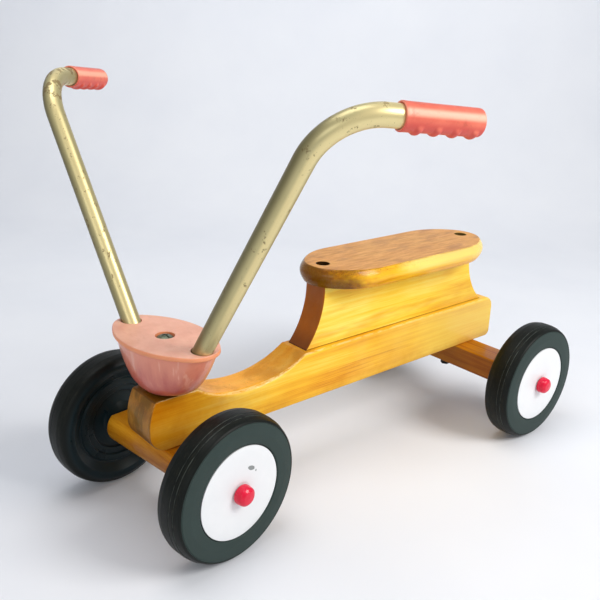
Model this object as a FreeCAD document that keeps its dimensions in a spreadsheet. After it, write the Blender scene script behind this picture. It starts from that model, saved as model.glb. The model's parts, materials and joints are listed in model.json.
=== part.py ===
import FreeCAD, Part
import math
import os

import Sketcher

# Four-wheeled wooden ride-on for a small child. Millimetres. +Z is up, -Y is the front and
# +X is the rider's left. The origin is on the ground, straight below the steering axis, which
# passes just in front of the front axle. At rest the steering is turned by
# steering_rest_angle to the left.

SIZES = [
    # wheels and axles
    ("wheel_radius", 76.2, "six inch wheel"),
    ("tyre_half_width", 18.4, ""),
    ("tyre_shoulder_radius", 11.8, ""),
    ("disc_radius", 48.4, "white face plate"),
    ("disc_thickness", 1.8, ""),
    ("axle_radius", 4, "eight millimetre rod"),
    ("running_gap", 0.06, "radial play of a turning fit"),
    ("end_gap", 0.3, "play between faces that turn past each other"),
    ("bush_radius", 7, "outside of the wheel bush"),
    ("hub_length", 14.5, "from the tyre's middle to the inner end of the wheel bush"),
    ("spacer_length", 4.7, "between axle block and wheel bush"),
    ("spacer_radius", 9, ""),
    ("cap_radius", 10.4, ""),
    ("cap_height", 11.5, ""),
    ("cap_gap", 0.6, "between face plate and cap"),
    ("axle_in_cap", 6.5, ""),
    ("front_half_track", 95.5, ""),
    ("rear_half_track", 126.7, ""),
    ("rear_axle_y", 469.1, "behind the steering axis"),
    ("axle_trail", 3.5, "front axle behind the steering axis"),
    ("front_axle_shift", 4.8, "front axle and block, towards the rider's right"),
    # axle blocks
    ("block_depth", 40, "front to back"),
    ("front_block_bottom", 61, ""),
    ("front_block_top", 90.5, ""),
    ("front_block_nose", 6.5, "how far the rounded front face bulges"),
    ("rear_block_bottom", 61.8, ""),
    ("block_bolt_offset", 11, "from the rear axle to each bolt"),
    ("block_bolt_radius", 3, ""),
    ("block_bolt_grip", 62, "length inside the wood"),
    ("bolt_head_width", 11, "across the flats"),
    ("bolt_head_height", 5.5, ""),
    # main beam
    ("beam_width", 45, ""),
    ("beam_bottom", 92, ""),
    ("beam_front", 32.6, "in front of the steering axis"),
    ("beam_rear", 523, "behind the steering axis"),
    ("pad_top", 148.5, "flat under the steering hub"),
    ("pad_rear", 22, ""),
    ("nose_height", 119, "where the nose reaches furthest forward"),
    ("nose_upper_radius", 62, ""),
    ("nose_lower_radius", 22, ""),
    ("nose_corner_radius", 3.5, ""),
    ("dip_shoulder_radius", 7, ""),
    ("dip_front_slope", 36, "degrees"),
    ("dip_low_slope", 14, "degrees, at both ends of the middle arc"),
    ("dip_rear_slope", 32, "degrees"),
    ("dip_front_arc", 70, ""),
    ("dip_middle_arc", 172, ""),
    ("deck_top", 151, ""),
    ("tail_upper_radius", 15, ""),
    ("tail_lower_radius", 8, ""),
    ("beam_edge_radius", 3, ""),
    ("fine_edge_radius", 1.5, ""),
    # riser and seat
    ("riser_width", 32, ""),
    ("riser_foot_front", 173.5, ""),
    ("riser_foot_rear", 500, ""),
    ("riser_top_front", 197.5, ""),
    ("riser_top_rear", 464, ""),
    ("riser_flare_front_top", 217, "where the curved front end becomes upright"),
    ("riser_flare_rear_top", 222, ""),
    ("seat_bottom", 222.8, ""),
    ("seat_top", 245.4, ""),
    ("seat_middle", 334, ""),
    ("seat_length", 298, ""),
    ("seat_width", 106, ""),
    ("seat_edge_bulge", 4.2, ""),
    ("seat_end_length", 71, "from the end of the straight side to the tip"),
    ("seat_tip_radius", 38, ""),
    ("seat_screw_front", 207.2, ""),
    ("seat_screw_rear", 458.8, ""),
    ("seat_counterbore_radius", 7.8, ""),
    ("seat_counterbore_depth", 6, ""),
    ("screw_radius", 2.4, "wood screws"),
    ("screw_clearance", 0.3, "in the two boards the screws pass through"),
    ("screw_head_radius", 5.6, ""),
    ("screw_head_height", 3.4, ""),
    ("seat_screw_length", 45, ""),
    ("riser_screw_front", 232, ""),
    ("riser_screw_rear", 430, ""),
    ("riser_counterbore_radius", 7, ""),
    ("riser_counterbore_depth", 24, ""),
    ("riser_screw_length", 66, ""),
    # steering column
    ("steering_rest_angle", 6.2, "degrees to the left at rest"),
    ("hub_twist", 1.7, "degrees that the hub sits further round than the axle"),
    ("post_radius", 9, ""),
    ("post_bottom", 66, ""),
    ("post_square", 11, "side of the square head"),
    ("post_top", 163, ""),
    ("column_bush_radius", 12.5, ""),
    ("block_washer_radius", 17, ""),
    ("hub_washer_radius", 15, ""),
    # hub
    ("lid_top", 206, ""),
    ("lid_thickness", 5, ""),
    ("lid_half_length", 68, ""),
    ("lid_half_width", 42, ""),
    ("lid_tip_radius", 26, ""),
    ("lid_edge_radius", 2, ""),
    ("lid_hole_gap", 0.9, "round each tube where it leaves the lid"),
    ("lid_recess_radius", 9.8, ""),
    ("lid_recess_depth", 3.6, ""),
    ("bowl_bottom", 150.3, ""),
    ("bowl_floor", 13, "thickness of the moulded floor"),
    ("bowl_wall", 2.8, ""),
    ("hub_screw_radius", 3, ""),
    ("hub_screw_head_radius", 8.4, ""),
    ("hub_screw_head_height", 3.8, ""),
    ("hub_screw_depth", 22, "length inside the post"),
    # handlebar
    ("tube_radius", 9.525, "three quarter inch tube"),
    ("tube_wall", 1.6, ""),
    ("tube_half_spacing", 54.9, "at the top of the lid"),
    ("tube_foot", 166, "height of the tube's lower end"),
    ("tube_lean", 30.7, "degrees outwards from upright"),
    ("bend_radius", 55, "of the tube's centre line"),
    ("bend_height", 438.7, "where the two centre lines would cross"),
    ("grip_splay", 28.2, "degrees outwards from straight back"),
    ("grip_droop", 4, "degrees below level"),
    ("tube_end", 123, "from the crossing of the centre lines"),
    ("grip_start", 56, "from the crossing of the centre lines"),
    ("grip_end", 128, "from the crossing of the centre lines"),
    ("grip_radius", 11.8, ""),
    ("grip_end_radius", 5, ""),
    ("grip_ridge_height", 2.2, "how far the finger ridges stand out"),
    ("grip_ridge_width", 8.5, "along the grip"),
    ("grip_ridge_first", 13, "middle of the first ridge, from the open end"),
    ("grip_ridge_pitch", 15.8, ""),
    ("grip_ridge_shift", 2.5, "axis of the ridges below the axis of the grip"),
    ("socket_radius", 12, ""),
]

DOC = FreeCAD.newDocument("RideOn")
DIM = DOC.addObject("Spreadsheet::Sheet", "Dim")
VALUE = {}
for row, (alias, number, meaning) in enumerate(SIZES, start=1):
    DIM.set("A%d" % row, alias)
    DIM.set("B%d" % row, str(number))
    DIM.set("C%d" % row, meaning)
    DIM.setAlias("B%d" % row, alias)
    VALUE[alias] = float(number)
DOC.recompute()

NODES = []
X_AXIS = FreeCAD.Vector(1, 0, 0)
Z_AXIS = FreeCAD.Vector(0, 0, 1)
UPSIDE_DOWN = FreeCAD.Rotation(X_AXIS, 180)
STANDING = FreeCAD.Placement()
STEERED = FreeCAD.Placement(
    FreeCAD.Vector(), FreeCAD.Rotation(Z_AXIS, VALUE["steering_rest_angle"])
)
HUB = STEERED.multiply(
    FreeCAD.Placement(FreeCAD.Vector(), FreeCAD.Rotation(Z_AXIS, VALUE["hub_twist"]))
)


# ---------------------------------------------------------------- helpers

def number(owner, expression):
    result = owner.evalExpression(expression)
    return float(getattr(result, "Value", result))


def bind(owner, sizes):
    for name, expression in sizes.items():
        owner.setExpression(name, expression)


def new_body(label, placement):
    body = DOC.addObject("PartDesign::Body", label)
    body.Label = label
    body.Placement = placement
    NODES.append(body)
    return body


def origin_plane(body, role):
    return [item for item in body.Origin.OriginFeatures if item.Role == role][0]


def attach(body, feature, role, offset=None):
    """Lays a feature on an origin plane, moved by (x, y, z) expressions in the plane's frame."""
    feature.AttachmentSupport = [(origin_plane(body, role), "")]
    feature.MapMode = "FlatFace"
    if offset:
        base = FreeCAD.Vector(*[number(feature, part) for part in offset])
        feature.AttachmentOffset = FreeCAD.Placement(base, FreeCAD.Rotation())
        for axis, part in zip("xyz", offset):
            feature.setExpression("AttachmentOffset.Base." + axis, part)


def new_sketch(body, name, role, offset=None):
    sketch = body.newObject("Sketcher::SketchObject", name)
    attach(body, sketch, role, offset)
    return sketch


def curve_between(start, end, radius):
    """Line, or minor arc that bulges to the right of travel when radius is positive."""
    if radius is None:
        return Part.LineSegment(start, end)
    chord = end - start
    half = chord.Length / 2
    side = FreeCAD.Vector(chord.y, -chord.x, 0).normalize()
    rise = abs(radius) - math.sqrt(radius * radius - half * half)
    middle = (start + end) / 2 + side * math.copysign(rise, radius)
    return Part.Arc(start, middle, end)


def draw(sketch, corners, closed=True):
    """Joins corners given as (across, up) or (across, up, bulge side, radius) expressions.

    A corner with a radius starts an arc; bulge side is +1 to the right of travel, -1 to the left.
    Every corner and every radius is tied to the spreadsheet.
    """
    points = [FreeCAD.Vector(number(sketch, c[0]), number(sketch, c[1]), 0) for c in corners]
    last = len(points) if closed else len(points) - 1
    ends = []
    for index in range(last):
        start, end = points[index], points[(index + 1) % len(points)]
        radius = None
        if len(corners[index]) == 4:
            radius = corners[index][2] * number(sketch, corners[index][3])
        item = sketch.addGeometry(curve_between(start, end, radius))
        forward = (sketch.getPoint(item, 1) - start).Length < 1e-6
        ends.append((item, 1, 2) if forward else (item, 2, 1))
        if radius is not None:
            fixed = sketch.addConstraint(Sketcher.Constraint("Radius", item, abs(radius)))
            sketch.setExpression("Constraints[%d]" % fixed, corners[index][3])
    for index in range(last if closed else last - 1):
        item, following = ends[index], ends[(index + 1) % last]
        sketch.addConstraint(
            Sketcher.Constraint("Coincident", item[0], item[2], following[0], following[1])
        )
    spots = [(item[0], item[1]) for item in ends]
    if not closed:
        spots.append((ends[-1][0], ends[-1][2]))
    for (item, end), corner, point in zip(spots, corners, points):
        for kind, expression, amount in (
            ("DistanceX", corner[0], point.x),
            ("DistanceY", corner[1], point.y),
        ):
            fixed = sketch.addConstraint(Sketcher.Constraint(kind, item, end, amount))
            if "Dim." in expression:
                sketch.setExpression("Constraints[%d]" % fixed, expression)


def circle(sketch, across, up, radius):
    centre = FreeCAD.Vector(number(sketch, across), number(sketch, up), 0)
    item = sketch.addGeometry(Part.Circle(centre, Z_AXIS, number(sketch, radius)))
    for kind, expression, amount in (
        ("DistanceX", across, centre.x),
        ("DistanceY", up, centre.y),
    ):
        fixed = sketch.addConstraint(Sketcher.Constraint(kind, item, 3, amount))
        if "Dim." in expression:
            sketch.setExpression("Constraints[%d]" % fixed, expression)
    fixed = sketch.addConstraint(Sketcher.Constraint("Radius", item, number(sketch, radius)))
    sketch.setExpression("Constraints[%d]" % fixed, radius)


def extrude(body, sketch, length, both_ways=False):
    pad = body.newObject("PartDesign::Pad", sketch.Name + "_pad")
    pad.Profile = sketch
    pad.Midplane = both_ways
    bind(pad, {"Length": length})
    DOC.recompute()
    return pad


def upright_cylinder(body, kind, name, centre, radius, height):
    """Additive or subtractive cylinder, upright in the body's frame, from centre upwards."""
    item = body.newObject("PartDesign::" + kind, name)
    attach(body, item, "XY_Plane", centre)
    bind(item, {"Radius": radius, "Height": height})
    DOC.recompute()
    return item


def revolve(body, name, corners, offset=None):
    """Solid of revolution about an upright axis; corners are (radius, along)."""
    sketch = new_sketch(body, name + "_profile", "XZ_Plane", offset)
    draw(sketch, corners)
    item = body.newObject("PartDesign::Revolution", name + "_turning")
    item.Profile = sketch
    item.ReferenceAxis = (sketch, ["V_Axis"])
    item.Angle = 360
    DOC.recompute()


def turned(label, placement, corners):
    """Body that is one solid of revolution about its own Z axis."""
    body = new_body(label, placement)
    revolve(body, label, corners)
    return body


def round_edges(body, name, test, radius):
    base = body.Tip
    chosen = ["Edge%d" % (i + 1) for i, edge in enumerate(base.Shape.Edges) if test(edge)]
    item = body.newObject("PartDesign::Fillet", name)
    item.Base = (base, chosen)
    bind(item, {"Radius": radius})
    DOC.recompute()
    return item


def repeat_along_y(body, originals, distance):
    """Second copy of the originals, a distance along the body's own Y axis."""
    pattern = body.newObject("PartDesign::LinearPattern", body.Name + "_pair")
    axis = [item for item in body.Origin.OriginFeatures if item.Role == "Y_Axis"][0]
    pattern.Originals = originals
    pattern.Direction = (axis, [""])
    pattern.Occurrences = 2
    bind(pattern, {"Length": distance})
    body.Tip = pattern
    DOC.recompute()


def facing(direction):
    """Rotation that turns the body's Z axis to a direction."""
    return FreeCAD.Rotation(Z_AXIS, direction)


def oval(sketch, half_length, half_width, tip_radius, straight="0", inset="0"):
    """Closed oval, long along the sketch's up axis, whose ends are a tip arc between two flanks.

    half_length and half_width are measured from where the straight side stops.
    """
    a = "(%s - %s)" % (half_length, inset)
    b = "(%s - %s)" % (half_width, inset)
    r = "(%s - %s)" % (tip_radius, inset)
    flank = "((%s * %s + %s * %s - 2 * %s * %s) / (2 * (%s - %s)))" % (b, b, a, a, a, r, b, r)
    across = "(%s * (%s - %s) / (%s - %s))" % (r, flank, b, flank, r)
    up = "(%s + (%s - %s) * %s / (%s - %s))" % (straight, a, r, flank, flank, r)
    minus = "-%s"
    corners = []
    if straight != "0":
        corners += [(b, minus % straight)]
    corners += [
        (b, straight, 1, flank),
        (across, up, 1, r),
        (minus % across, up, 1, flank),
        (minus % b, straight),
    ]
    if straight == "0":
        corners[-1] = (minus % b, straight, 1, flank)
    else:
        corners += [(minus % b, minus % straight, 1, flank)]
    corners += [
        (minus % across, minus % up, 1, r),
        (across, minus % up, 1, flank),
    ]
    draw(sketch, corners)


def loft(body, sections, kind="AdditiveLoft"):
    item = body.newObject("PartDesign::" + kind, sections[0].Name + "_loft")
    item.Profile = sections[0]
    item.Sections = sections[1:]
    DOC.recompute()
    return item


# ---------------------------------------------------------------- wooden frame

def dip_corners():
    """Corners of the hand-hold dip, from the deck forwards to the pad; all arcs are tangent.

    Worked out from the pad backwards: shoulder, front arc, middle arc, rear arc, shoulder.
    """
    steep, low = "Dim.dip_front_slope", "Dim.dip_low_slope"
    back = "Dim.dip_rear_slope"
    shoulder = "Dim.dip_shoulder_radius"
    front, middle = "Dim.dip_front_arc", "Dim.dip_middle_arc"
    y_a = "(Dim.pad_rear + %s * sin(%s))" % (shoulder, steep)
    z_a = "(Dim.pad_top - %s * (1 - cos(%s)))" % (shoulder, steep)
    y_b = "(%s + %s * (sin(%s) - sin(%s)))" % (y_a, front, steep, low)
    z_b = "(%s - %s * (cos(%s) - cos(%s)))" % (z_a, front, low, steep)
    y_c = "(%s + 2 * %s * sin(%s))" % (y_b, middle, low)
    z_d = "(Dim.deck_top - %s * (1 - cos(%s)))" % (shoulder, back)
    rear = "((%s - %s) / (cos(%s) - cos(%s)))" % (z_d, z_b, low, back)
    y_d = "(%s + %s * (sin(%s) - sin(%s)))" % (y_c, rear, back, low)
    y_e = "(%s + %s * sin(%s))" % (y_d, shoulder, back)
    return [
        (y_e, "Dim.deck_top", 1, shoulder),
        (y_d, z_d, -1, rear),
        (y_c, z_b, -1, middle),
        (y_b, z_b, -1, front),
        (y_a, z_a, 1, shoulder),
        ("Dim.pad_rear", "Dim.pad_top"),
    ]


def make_main_beam():
    body = new_body("main_beam", STANDING)
    sketch = new_sketch(body, "beam_side", "YZ_Plane")
    corners = [
        ("Dim.nose_lower_radius - Dim.beam_front", "Dim.beam_bottom"),
        ("Dim.beam_rear - Dim.tail_lower_radius", "Dim.beam_bottom", 1, "Dim.tail_lower_radius"),
        ("Dim.beam_rear", "Dim.beam_bottom + Dim.tail_lower_radius"),
        ("Dim.beam_rear", "Dim.deck_top - Dim.tail_upper_radius", 1, "Dim.tail_upper_radius"),
        ("Dim.beam_rear - Dim.tail_upper_radius", "Dim.deck_top"),
    ]
    corners += dip_corners()
    # the nose arc runs into the pad through a small rounding
    blend = "Dim.nose_corner_radius"
    rise = "asin((Dim.pad_top - %s - Dim.nose_height) / (Dim.nose_upper_radius - %s))" % (
        blend, blend)
    middle = "Dim.nose_upper_radius - Dim.beam_front"
    corners += [
        ("%s - (Dim.nose_upper_radius - %s) * cos(%s)" % (middle, blend, rise),
         "Dim.pad_top", 1, blend),
        ("%s - Dim.nose_upper_radius * cos(%s)" % (middle, rise),
         "Dim.nose_height + Dim.nose_upper_radius * sin(%s)" % rise,
         1, "Dim.nose_upper_radius"),
        ("-Dim.beam_front", "Dim.nose_height"),
        ("-Dim.beam_front", "Dim.beam_bottom + Dim.nose_lower_radius",
         1, "Dim.nose_lower_radius"),
    ]
    draw(sketch, corners)
    extrude(body, sketch, "Dim.beam_width", both_ways=True)
    half = VALUE["beam_width"] / 2

    def on_a_side(edge):
        return all(abs(abs(vertex.X) - half) < 1e-4 for vertex in edge.Vertexes)

    round_edges(body, "beam_rounding", on_a_side, "Dim.beam_edge_radius")
    upright_cylinder(
        body, "SubtractiveCylinder", "column_bore", ("0", "0", "Dim.beam_bottom - 1"),
        "Dim.column_bush_radius", "Dim.pad_top - Dim.beam_bottom + 2",
    )
    for end in ("front", "rear"):
        place = "Dim.riser_screw_" + end
        upright_cylinder(
            body, "SubtractiveCylinder", "riser_counterbore_" + end,
            ("0", place, "Dim.beam_bottom - 1"),
            "Dim.riser_counterbore_radius", "Dim.riser_counterbore_depth + 1",
        )
        upright_cylinder(
            body, "SubtractiveCylinder", "riser_screw_hole_" + end,
            ("0", place, "Dim.beam_bottom"), "Dim.screw_radius + Dim.screw_clearance",
            "Dim.deck_top",
        )
    for sign in ("-", "+"):
        upright_cylinder(
            body, "SubtractiveCylinder", "block_bolt_hole",
            ("0", "Dim.rear_axle_y %s Dim.block_bolt_offset" % sign, "Dim.beam_bottom - 1"),
            "Dim.block_bolt_radius",
            "Dim.rear_block_bottom + Dim.block_bolt_grip - Dim.beam_bottom + 1",
        )


def flare_radius(run, rise):
    """Radius of an arc that starts upright and moves sideways by run over a height of rise."""
    return "((%s * %s + %s * %s) / (2 * %s))" % (run, run, rise, rise, run)


def make_seat_riser():
    body = new_body("seat_riser", STANDING)
    sketch = new_sketch(body, "riser_side", "YZ_Plane")
    front = flare_radius("(Dim.riser_top_front - Dim.riser_foot_front)",
                         "(Dim.riser_flare_front_top - Dim.deck_top)")
    rear = flare_radius("(Dim.riser_foot_rear - Dim.riser_top_rear)",
                        "(Dim.riser_flare_rear_top - Dim.deck_top)")
    draw(sketch, [
        ("Dim.riser_foot_front", "Dim.deck_top"),
        ("Dim.riser_foot_rear", "Dim.deck_top", -1, rear),
        ("Dim.riser_top_rear", "Dim.riser_flare_rear_top"),
        ("Dim.riser_top_rear", "Dim.seat_bottom"),
        ("Dim.riser_top_front", "Dim.seat_bottom"),
        ("Dim.riser_top_front", "Dim.riser_flare_front_top", -1, front),
    ])
    extrude(body, sketch, "Dim.riser_width", both_ways=True)
    half = VALUE["riser_width"] / 2

    def end_edge(edge):
        rises = abs(edge.Vertexes[0].Z - edge.Vertexes[-1].Z) > 5
        return rises and all(abs(abs(vertex.X) - half) < 1e-4 for vertex in edge.Vertexes)

    round_edges(body, "riser_end_rounding", end_edge, "Dim.fine_edge_radius")
    for end in ("front", "rear"):
        upright_cylinder(
            body, "SubtractiveCylinder", "seat_screw_pilot_" + end,
            ("0", "Dim.seat_screw_" + end,
             "Dim.seat_top - Dim.seat_counterbore_depth - Dim.seat_screw_length"),
            "Dim.screw_radius", "Dim.seat_screw_length",
        )
        upright_cylinder(
            body, "SubtractiveCylinder", "riser_screw_pilot_" + end,
            ("0", "Dim.riser_screw_" + end, "Dim.deck_top - 1"), "Dim.screw_radius",
            "Dim.beam_bottom + Dim.riser_counterbore_depth + Dim.riser_screw_length"
            " - Dim.deck_top + 1",
        )


def make_seat_board():
    body = new_body("seat_board", STANDING)
    straight = "(Dim.seat_length / 2 - Dim.seat_end_length)"
    sections = []
    for name, height, inset in (
        ("under", "Dim.seat_bottom", "Dim.seat_edge_bulge"),
        ("middle", "(Dim.seat_bottom + Dim.seat_top) / 2", "0"),
        ("upper", "Dim.seat_top", "Dim.seat_edge_bulge"),
    ):
        sketch = new_sketch(body, "seat_" + name, "XY_Plane", ("0", "Dim.seat_middle", height))
        oval(sketch, "Dim.seat_end_length", "Dim.seat_width / 2", "Dim.seat_tip_radius",
             straight, inset)
        sections.append(sketch)
    DOC.recompute()
    loft(body, sections)
    for end in ("front", "rear"):
        place = "Dim.seat_screw_" + end
        upright_cylinder(
            body, "SubtractiveCylinder", "counterbore_" + end,
            ("0", place, "Dim.seat_top - Dim.seat_counterbore_depth"),
            "Dim.seat_counterbore_radius", "Dim.seat_counterbore_depth + 1",
        )
        upright_cylinder(
            body, "SubtractiveCylinder", "screw_hole_" + end,
            ("0", place, "Dim.seat_bottom - 1"),
            "Dim.screw_radius + Dim.screw_clearance", "Dim.seat_top",
        )


def make_screw(label, placement, shank_radius, length, head_radius, head_height, places=("0",)):
    """Round-headed screws; each head stands on z = 0 and its shank points down.

    There is one for each place along the body's own Y axis.
    """
    body = new_body(label, placement)
    for count, place in enumerate(places):
        # the sketch plane faces -Y, so its offset has the opposite sign
        revolve(body, "%s_%d" % (label, count), [
            ("0", "-%s" % length),
            (shank_radius, "-%s" % length),
            (shank_radius, "0"),
            (head_radius, "0"),
            (head_radius, "0.3 * %s" % head_height, 1, "1.3 * %s" % head_radius),
            ("0.25 * %s" % head_radius, head_height),
            ("0", head_height),
        ], ("0", "0", "-(%s)" % place))
        for name, across, along in (
            ("slot", "1.5 * %s" % head_radius, "0.16 * %s" % head_radius),
            ("cross_slot", "0.16 * %s" % head_radius, "1.0 * %s" % head_radius),
        ):
            cut = body.newObject("PartDesign::SubtractiveBox", "%s_%s_%d" % (label, name, count))
            attach(body, cut, "XY_Plane", (
                "-%s / 2" % across, "%s - %s / 2" % (place, along), "0.55 * %s" % head_height,
            ))
            bind(cut, {"Length": across, "Width": along, "Height": head_height})
            DOC.recompute()


def make_wood_screws():
    seat_level = VALUE["seat_top"] - VALUE["seat_counterbore_depth"]
    spot = FreeCAD.Vector(0, VALUE["seat_screw_front"], seat_level)
    make_screw(
        "seat_screws", FreeCAD.Placement(spot, FreeCAD.Rotation()),
        "Dim.screw_radius", "Dim.seat_screw_length",
        "Dim.screw_head_radius", "Dim.screw_head_height",
        ("0", "Dim.seat_screw_rear - Dim.seat_screw_front"),
    )
    beam_level = VALUE["beam_bottom"] + VALUE["riser_counterbore_depth"]
    spot = FreeCAD.Vector(0, VALUE["riser_screw_rear"], beam_level)
    make_screw(
        "riser_screws", FreeCAD.Placement(spot, UPSIDE_DOWN),
        "Dim.screw_radius", "Dim.riser_screw_length",
        "Dim.screw_head_radius", "Dim.screw_head_height",
        ("0", "Dim.riser_screw_rear - Dim.riser_screw_front"),
    )


def make_rear_block():
    body = new_body("rear_axle_block", STANDING)
    sketch = new_sketch(body, "rear_block_section", "YZ_Plane")
    front, rear = "Dim.rear_axle_y - Dim.block_depth / 2", "Dim.rear_axle_y + Dim.block_depth / 2"
    draw(sketch, [
        (front, "Dim.rear_block_bottom"),
        (rear, "Dim.rear_block_bottom"),
        (rear, "Dim.beam_bottom"),
        (front, "Dim.beam_bottom"),
    ])
    extrude(body, sketch, "2 * (%s)" % BLOCK_END["rear"], both_ways=True)
    round_edges(body, "rear_block_rounding", lambda edge: True, "Dim.fine_edge_radius")
    bore_along_x(body, "rear_axle_bore", "Dim.rear_axle_y")
    for sign in ("-", "+"):
        upright_cylinder(
            body, "SubtractiveCylinder", "bolt_hole",
            ("0", "Dim.rear_axle_y %s Dim.block_bolt_offset" % sign,
             "Dim.rear_block_bottom - 1"),
            "Dim.block_bolt_radius", "Dim.beam_bottom - Dim.rear_block_bottom + 2",
        )


def bore_along_x(body, name, along_y):
    """Round hole for an axle, right through the body along X."""
    sketch = new_sketch(body, name, "YZ_Plane")
    circle(sketch, along_y, "Dim.wheel_radius", "Dim.axle_radius")
    cut = body.newObject("PartDesign::Pocket", name + "_cut")
    cut.Profile = sketch
    cut.Type = "ThroughAll"
    cut.Midplane = True
    DOC.recompute()


def make_block_bolts():
    spot = FreeCAD.Vector(
        0, VALUE["rear_axle_y"] + VALUE["block_bolt_offset"], VALUE["rear_block_bottom"]
    )
    body = new_body("rear_block_bolts", FreeCAD.Placement(spot, UPSIDE_DOWN))
    sketch = new_sketch(body, "bolt_hexagon", "XY_Plane")
    corner = "(Dim.bolt_head_width / 2 / cos(30))"
    draw(sketch, [
        ("%s * cos(%d)" % (corner, turn), "%s * sin(%d)" % (corner, turn))
        for turn in range(30, 390, 60)
    ])
    head = extrude(body, sketch, "Dim.bolt_head_height")
    shank = upright_cylinder(
        body, "AdditiveCylinder", "bolt_shank", ("0", "0", "-Dim.block_bolt_grip"),
        "Dim.block_bolt_radius", "Dim.block_bolt_grip + 1",
    )
    repeat_along_y(body, [head, shank], "2 * Dim.block_bolt_offset")


# ---------------------------------------------------------------- wheels and axles

BLOCK_END = {
    end: "Dim.%s_half_track - Dim.hub_length - Dim.end_gap - Dim.spacer_length" % end
    for end in ("front", "rear")
}
CAP_START = "(Dim.tyre_half_width + Dim.cap_gap)"


def along_axle(end, side, distance):
    """Placement on an axle, its Z axis outwards, at a distance from the middle of its block."""
    middle = FreeCAD.Vector(0, VALUE["rear_axle_y"], VALUE["wheel_radius"])
    group = STANDING
    if end == "front":
        middle = FreeCAD.Vector(
            -VALUE["front_axle_shift"], VALUE["axle_trail"], VALUE["wheel_radius"]
        )
        group = STEERED
    spot = middle + X_AXIS * (side * distance)
    return group.multiply(FreeCAD.Placement(spot, facing(X_AXIS * side)))


def make_axle(end):
    length = "(Dim.%s_half_track + %s + Dim.axle_in_cap)" % (end, CAP_START)
    turned(end + "_axle", along_axle(end, 1, 0), [
        ("0", "-%s" % length),
        ("Dim.axle_radius - 0.5", "-%s" % length),
        ("Dim.axle_radius", "-%s + 0.5" % length),
        ("Dim.axle_radius", "%s - 0.5" % length),
        ("Dim.axle_radius - 0.5", length),
        ("0", length),
    ])


def make_spacer(name, end, side):
    turned(name + "_spacer", along_axle(end, side, 0), [
        ("Dim.axle_radius", BLOCK_END[end]),
        ("Dim.spacer_radius", BLOCK_END[end]),
        ("Dim.spacer_radius", BLOCK_END[end] + " + Dim.spacer_length"),
        ("Dim.axle_radius", BLOCK_END[end] + " + Dim.spacer_length"),
    ])


def make_cap(name, end, side):
    rim = "(%s + 0.3 * Dim.cap_height)" % CAP_START
    rise = "(0.7 * Dim.cap_height)"
    dome = "((Dim.cap_radius * Dim.cap_radius + %s * %s) / (2 * %s))" % (rise, rise, rise)
    turned(name + "_cap", along_axle(end, side, VALUE[end + "_half_track"]), [
        ("0", "%s + Dim.axle_in_cap" % CAP_START),
        ("Dim.axle_radius", "%s + Dim.axle_in_cap" % CAP_START),
        ("Dim.axle_radius", CAP_START),
        ("Dim.cap_radius", CAP_START),
        ("Dim.cap_radius", rim, 1, dome),
        ("0", "%s + Dim.cap_height" % CAP_START),
    ])


def make_wheel(name, end, side):
    middle = along_axle(end, side, VALUE[end + "_half_track"])
    face = "Dim.tyre_half_width"
    shoulder = "Dim.tyre_shoulder_radius"
    tread = "Dim.wheel_radius"
    seat = "Dim.tyre_half_width - Dim.disc_thickness"
    turned(name + "_tyre", middle, [
        # back, from the hub outwards: cone, two steps, dish and sidewall
        ("Dim.bush_radius", "-0.76 * %s" % face),
        ("0.17 * %s" % tread, "-0.76 * %s" % face),
        ("0.27 * %s" % tread, "-0.50 * %s" % face),
        ("0.44 * %s" % tread, "-0.36 * %s" % face),
        ("0.45 * %s" % tread, "-0.52 * %s" % face),
        ("0.54 * %s" % tread, "-0.52 * %s" % face),
        ("0.55 * %s" % tread, "-0.66 * %s" % face),
        ("0.645 * %s" % tread, "-0.66 * %s" % face),
        ("0.665 * %s" % tread, "-0.57 * %s" % face),
        ("%s - %s - 1" % (tread, shoulder), "-%s" % face),
        ("%s - %s" % (tread, shoulder), "-%s" % face, 1, shoulder),
        # tread and outer sidewall
        (tread, "%s - %s" % (shoulder, face)),
        (tread, "%s - %s" % (face, shoulder), 1, shoulder),
        ("%s - %s" % (tread, shoulder), face),
        ("Dim.disc_radius + 1.3", face),
        ("Dim.disc_radius + 0.3", "%s - 1" % face),
        ("Dim.disc_radius + 0.3", seat),
        ("0.90 * Dim.disc_radius", seat),
        # hollow behind the face plate
        ("0.90 * Dim.disc_radius", "0.72 * %s" % face),
        ("0.83 * %s" % tread, "0.72 * %s" % face),
        ("0.95 * %s" % tread, "0.34 * %s" % face),
        ("0.95 * %s" % tread, "-0.34 * %s" % face),
        ("0.86 * %s" % tread, "-0.76 * %s" % face),
        ("0.685 * %s" % tread, "-0.40 * %s" % face),
        ("0.62 * %s" % tread, "-0.50 * %s" % face),
        ("0.58 * %s" % tread, "-0.50 * %s" % face),
        ("0.56 * %s" % tread, "-0.36 * %s" % face),
        ("0.48 * %s" % tread, "-0.36 * %s" % face),
        ("0.46 * %s" % tread, "-0.20 * %s" % face),
        ("0.28 * %s" % tread, "-0.32 * %s" % face),
        ("0.15 * %s" % tread, "-0.32 * %s" % face),
        ("0.15 * %s" % tread, seat),
        ("Dim.bush_radius", seat),
    ])
    turned(name + "_disc", middle, [
        ("Dim.axle_radius + 1.5", seat),
        ("Dim.disc_radius", seat),
        ("Dim.disc_radius", "%s - 0.4" % face),
        ("Dim.disc_radius - 0.4", face),
        ("Dim.axle_radius + 1.5", face),
    ])
    turned(name + "_bush", middle, [
        ("Dim.axle_radius + Dim.running_gap", "-Dim.hub_length"),
        ("Dim.bush_radius", "-Dim.hub_length"),
        ("Dim.bush_radius", seat),
        ("Dim.axle_radius + Dim.running_gap", seat),
    ])


# ---------------------------------------------------------------- steering

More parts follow.
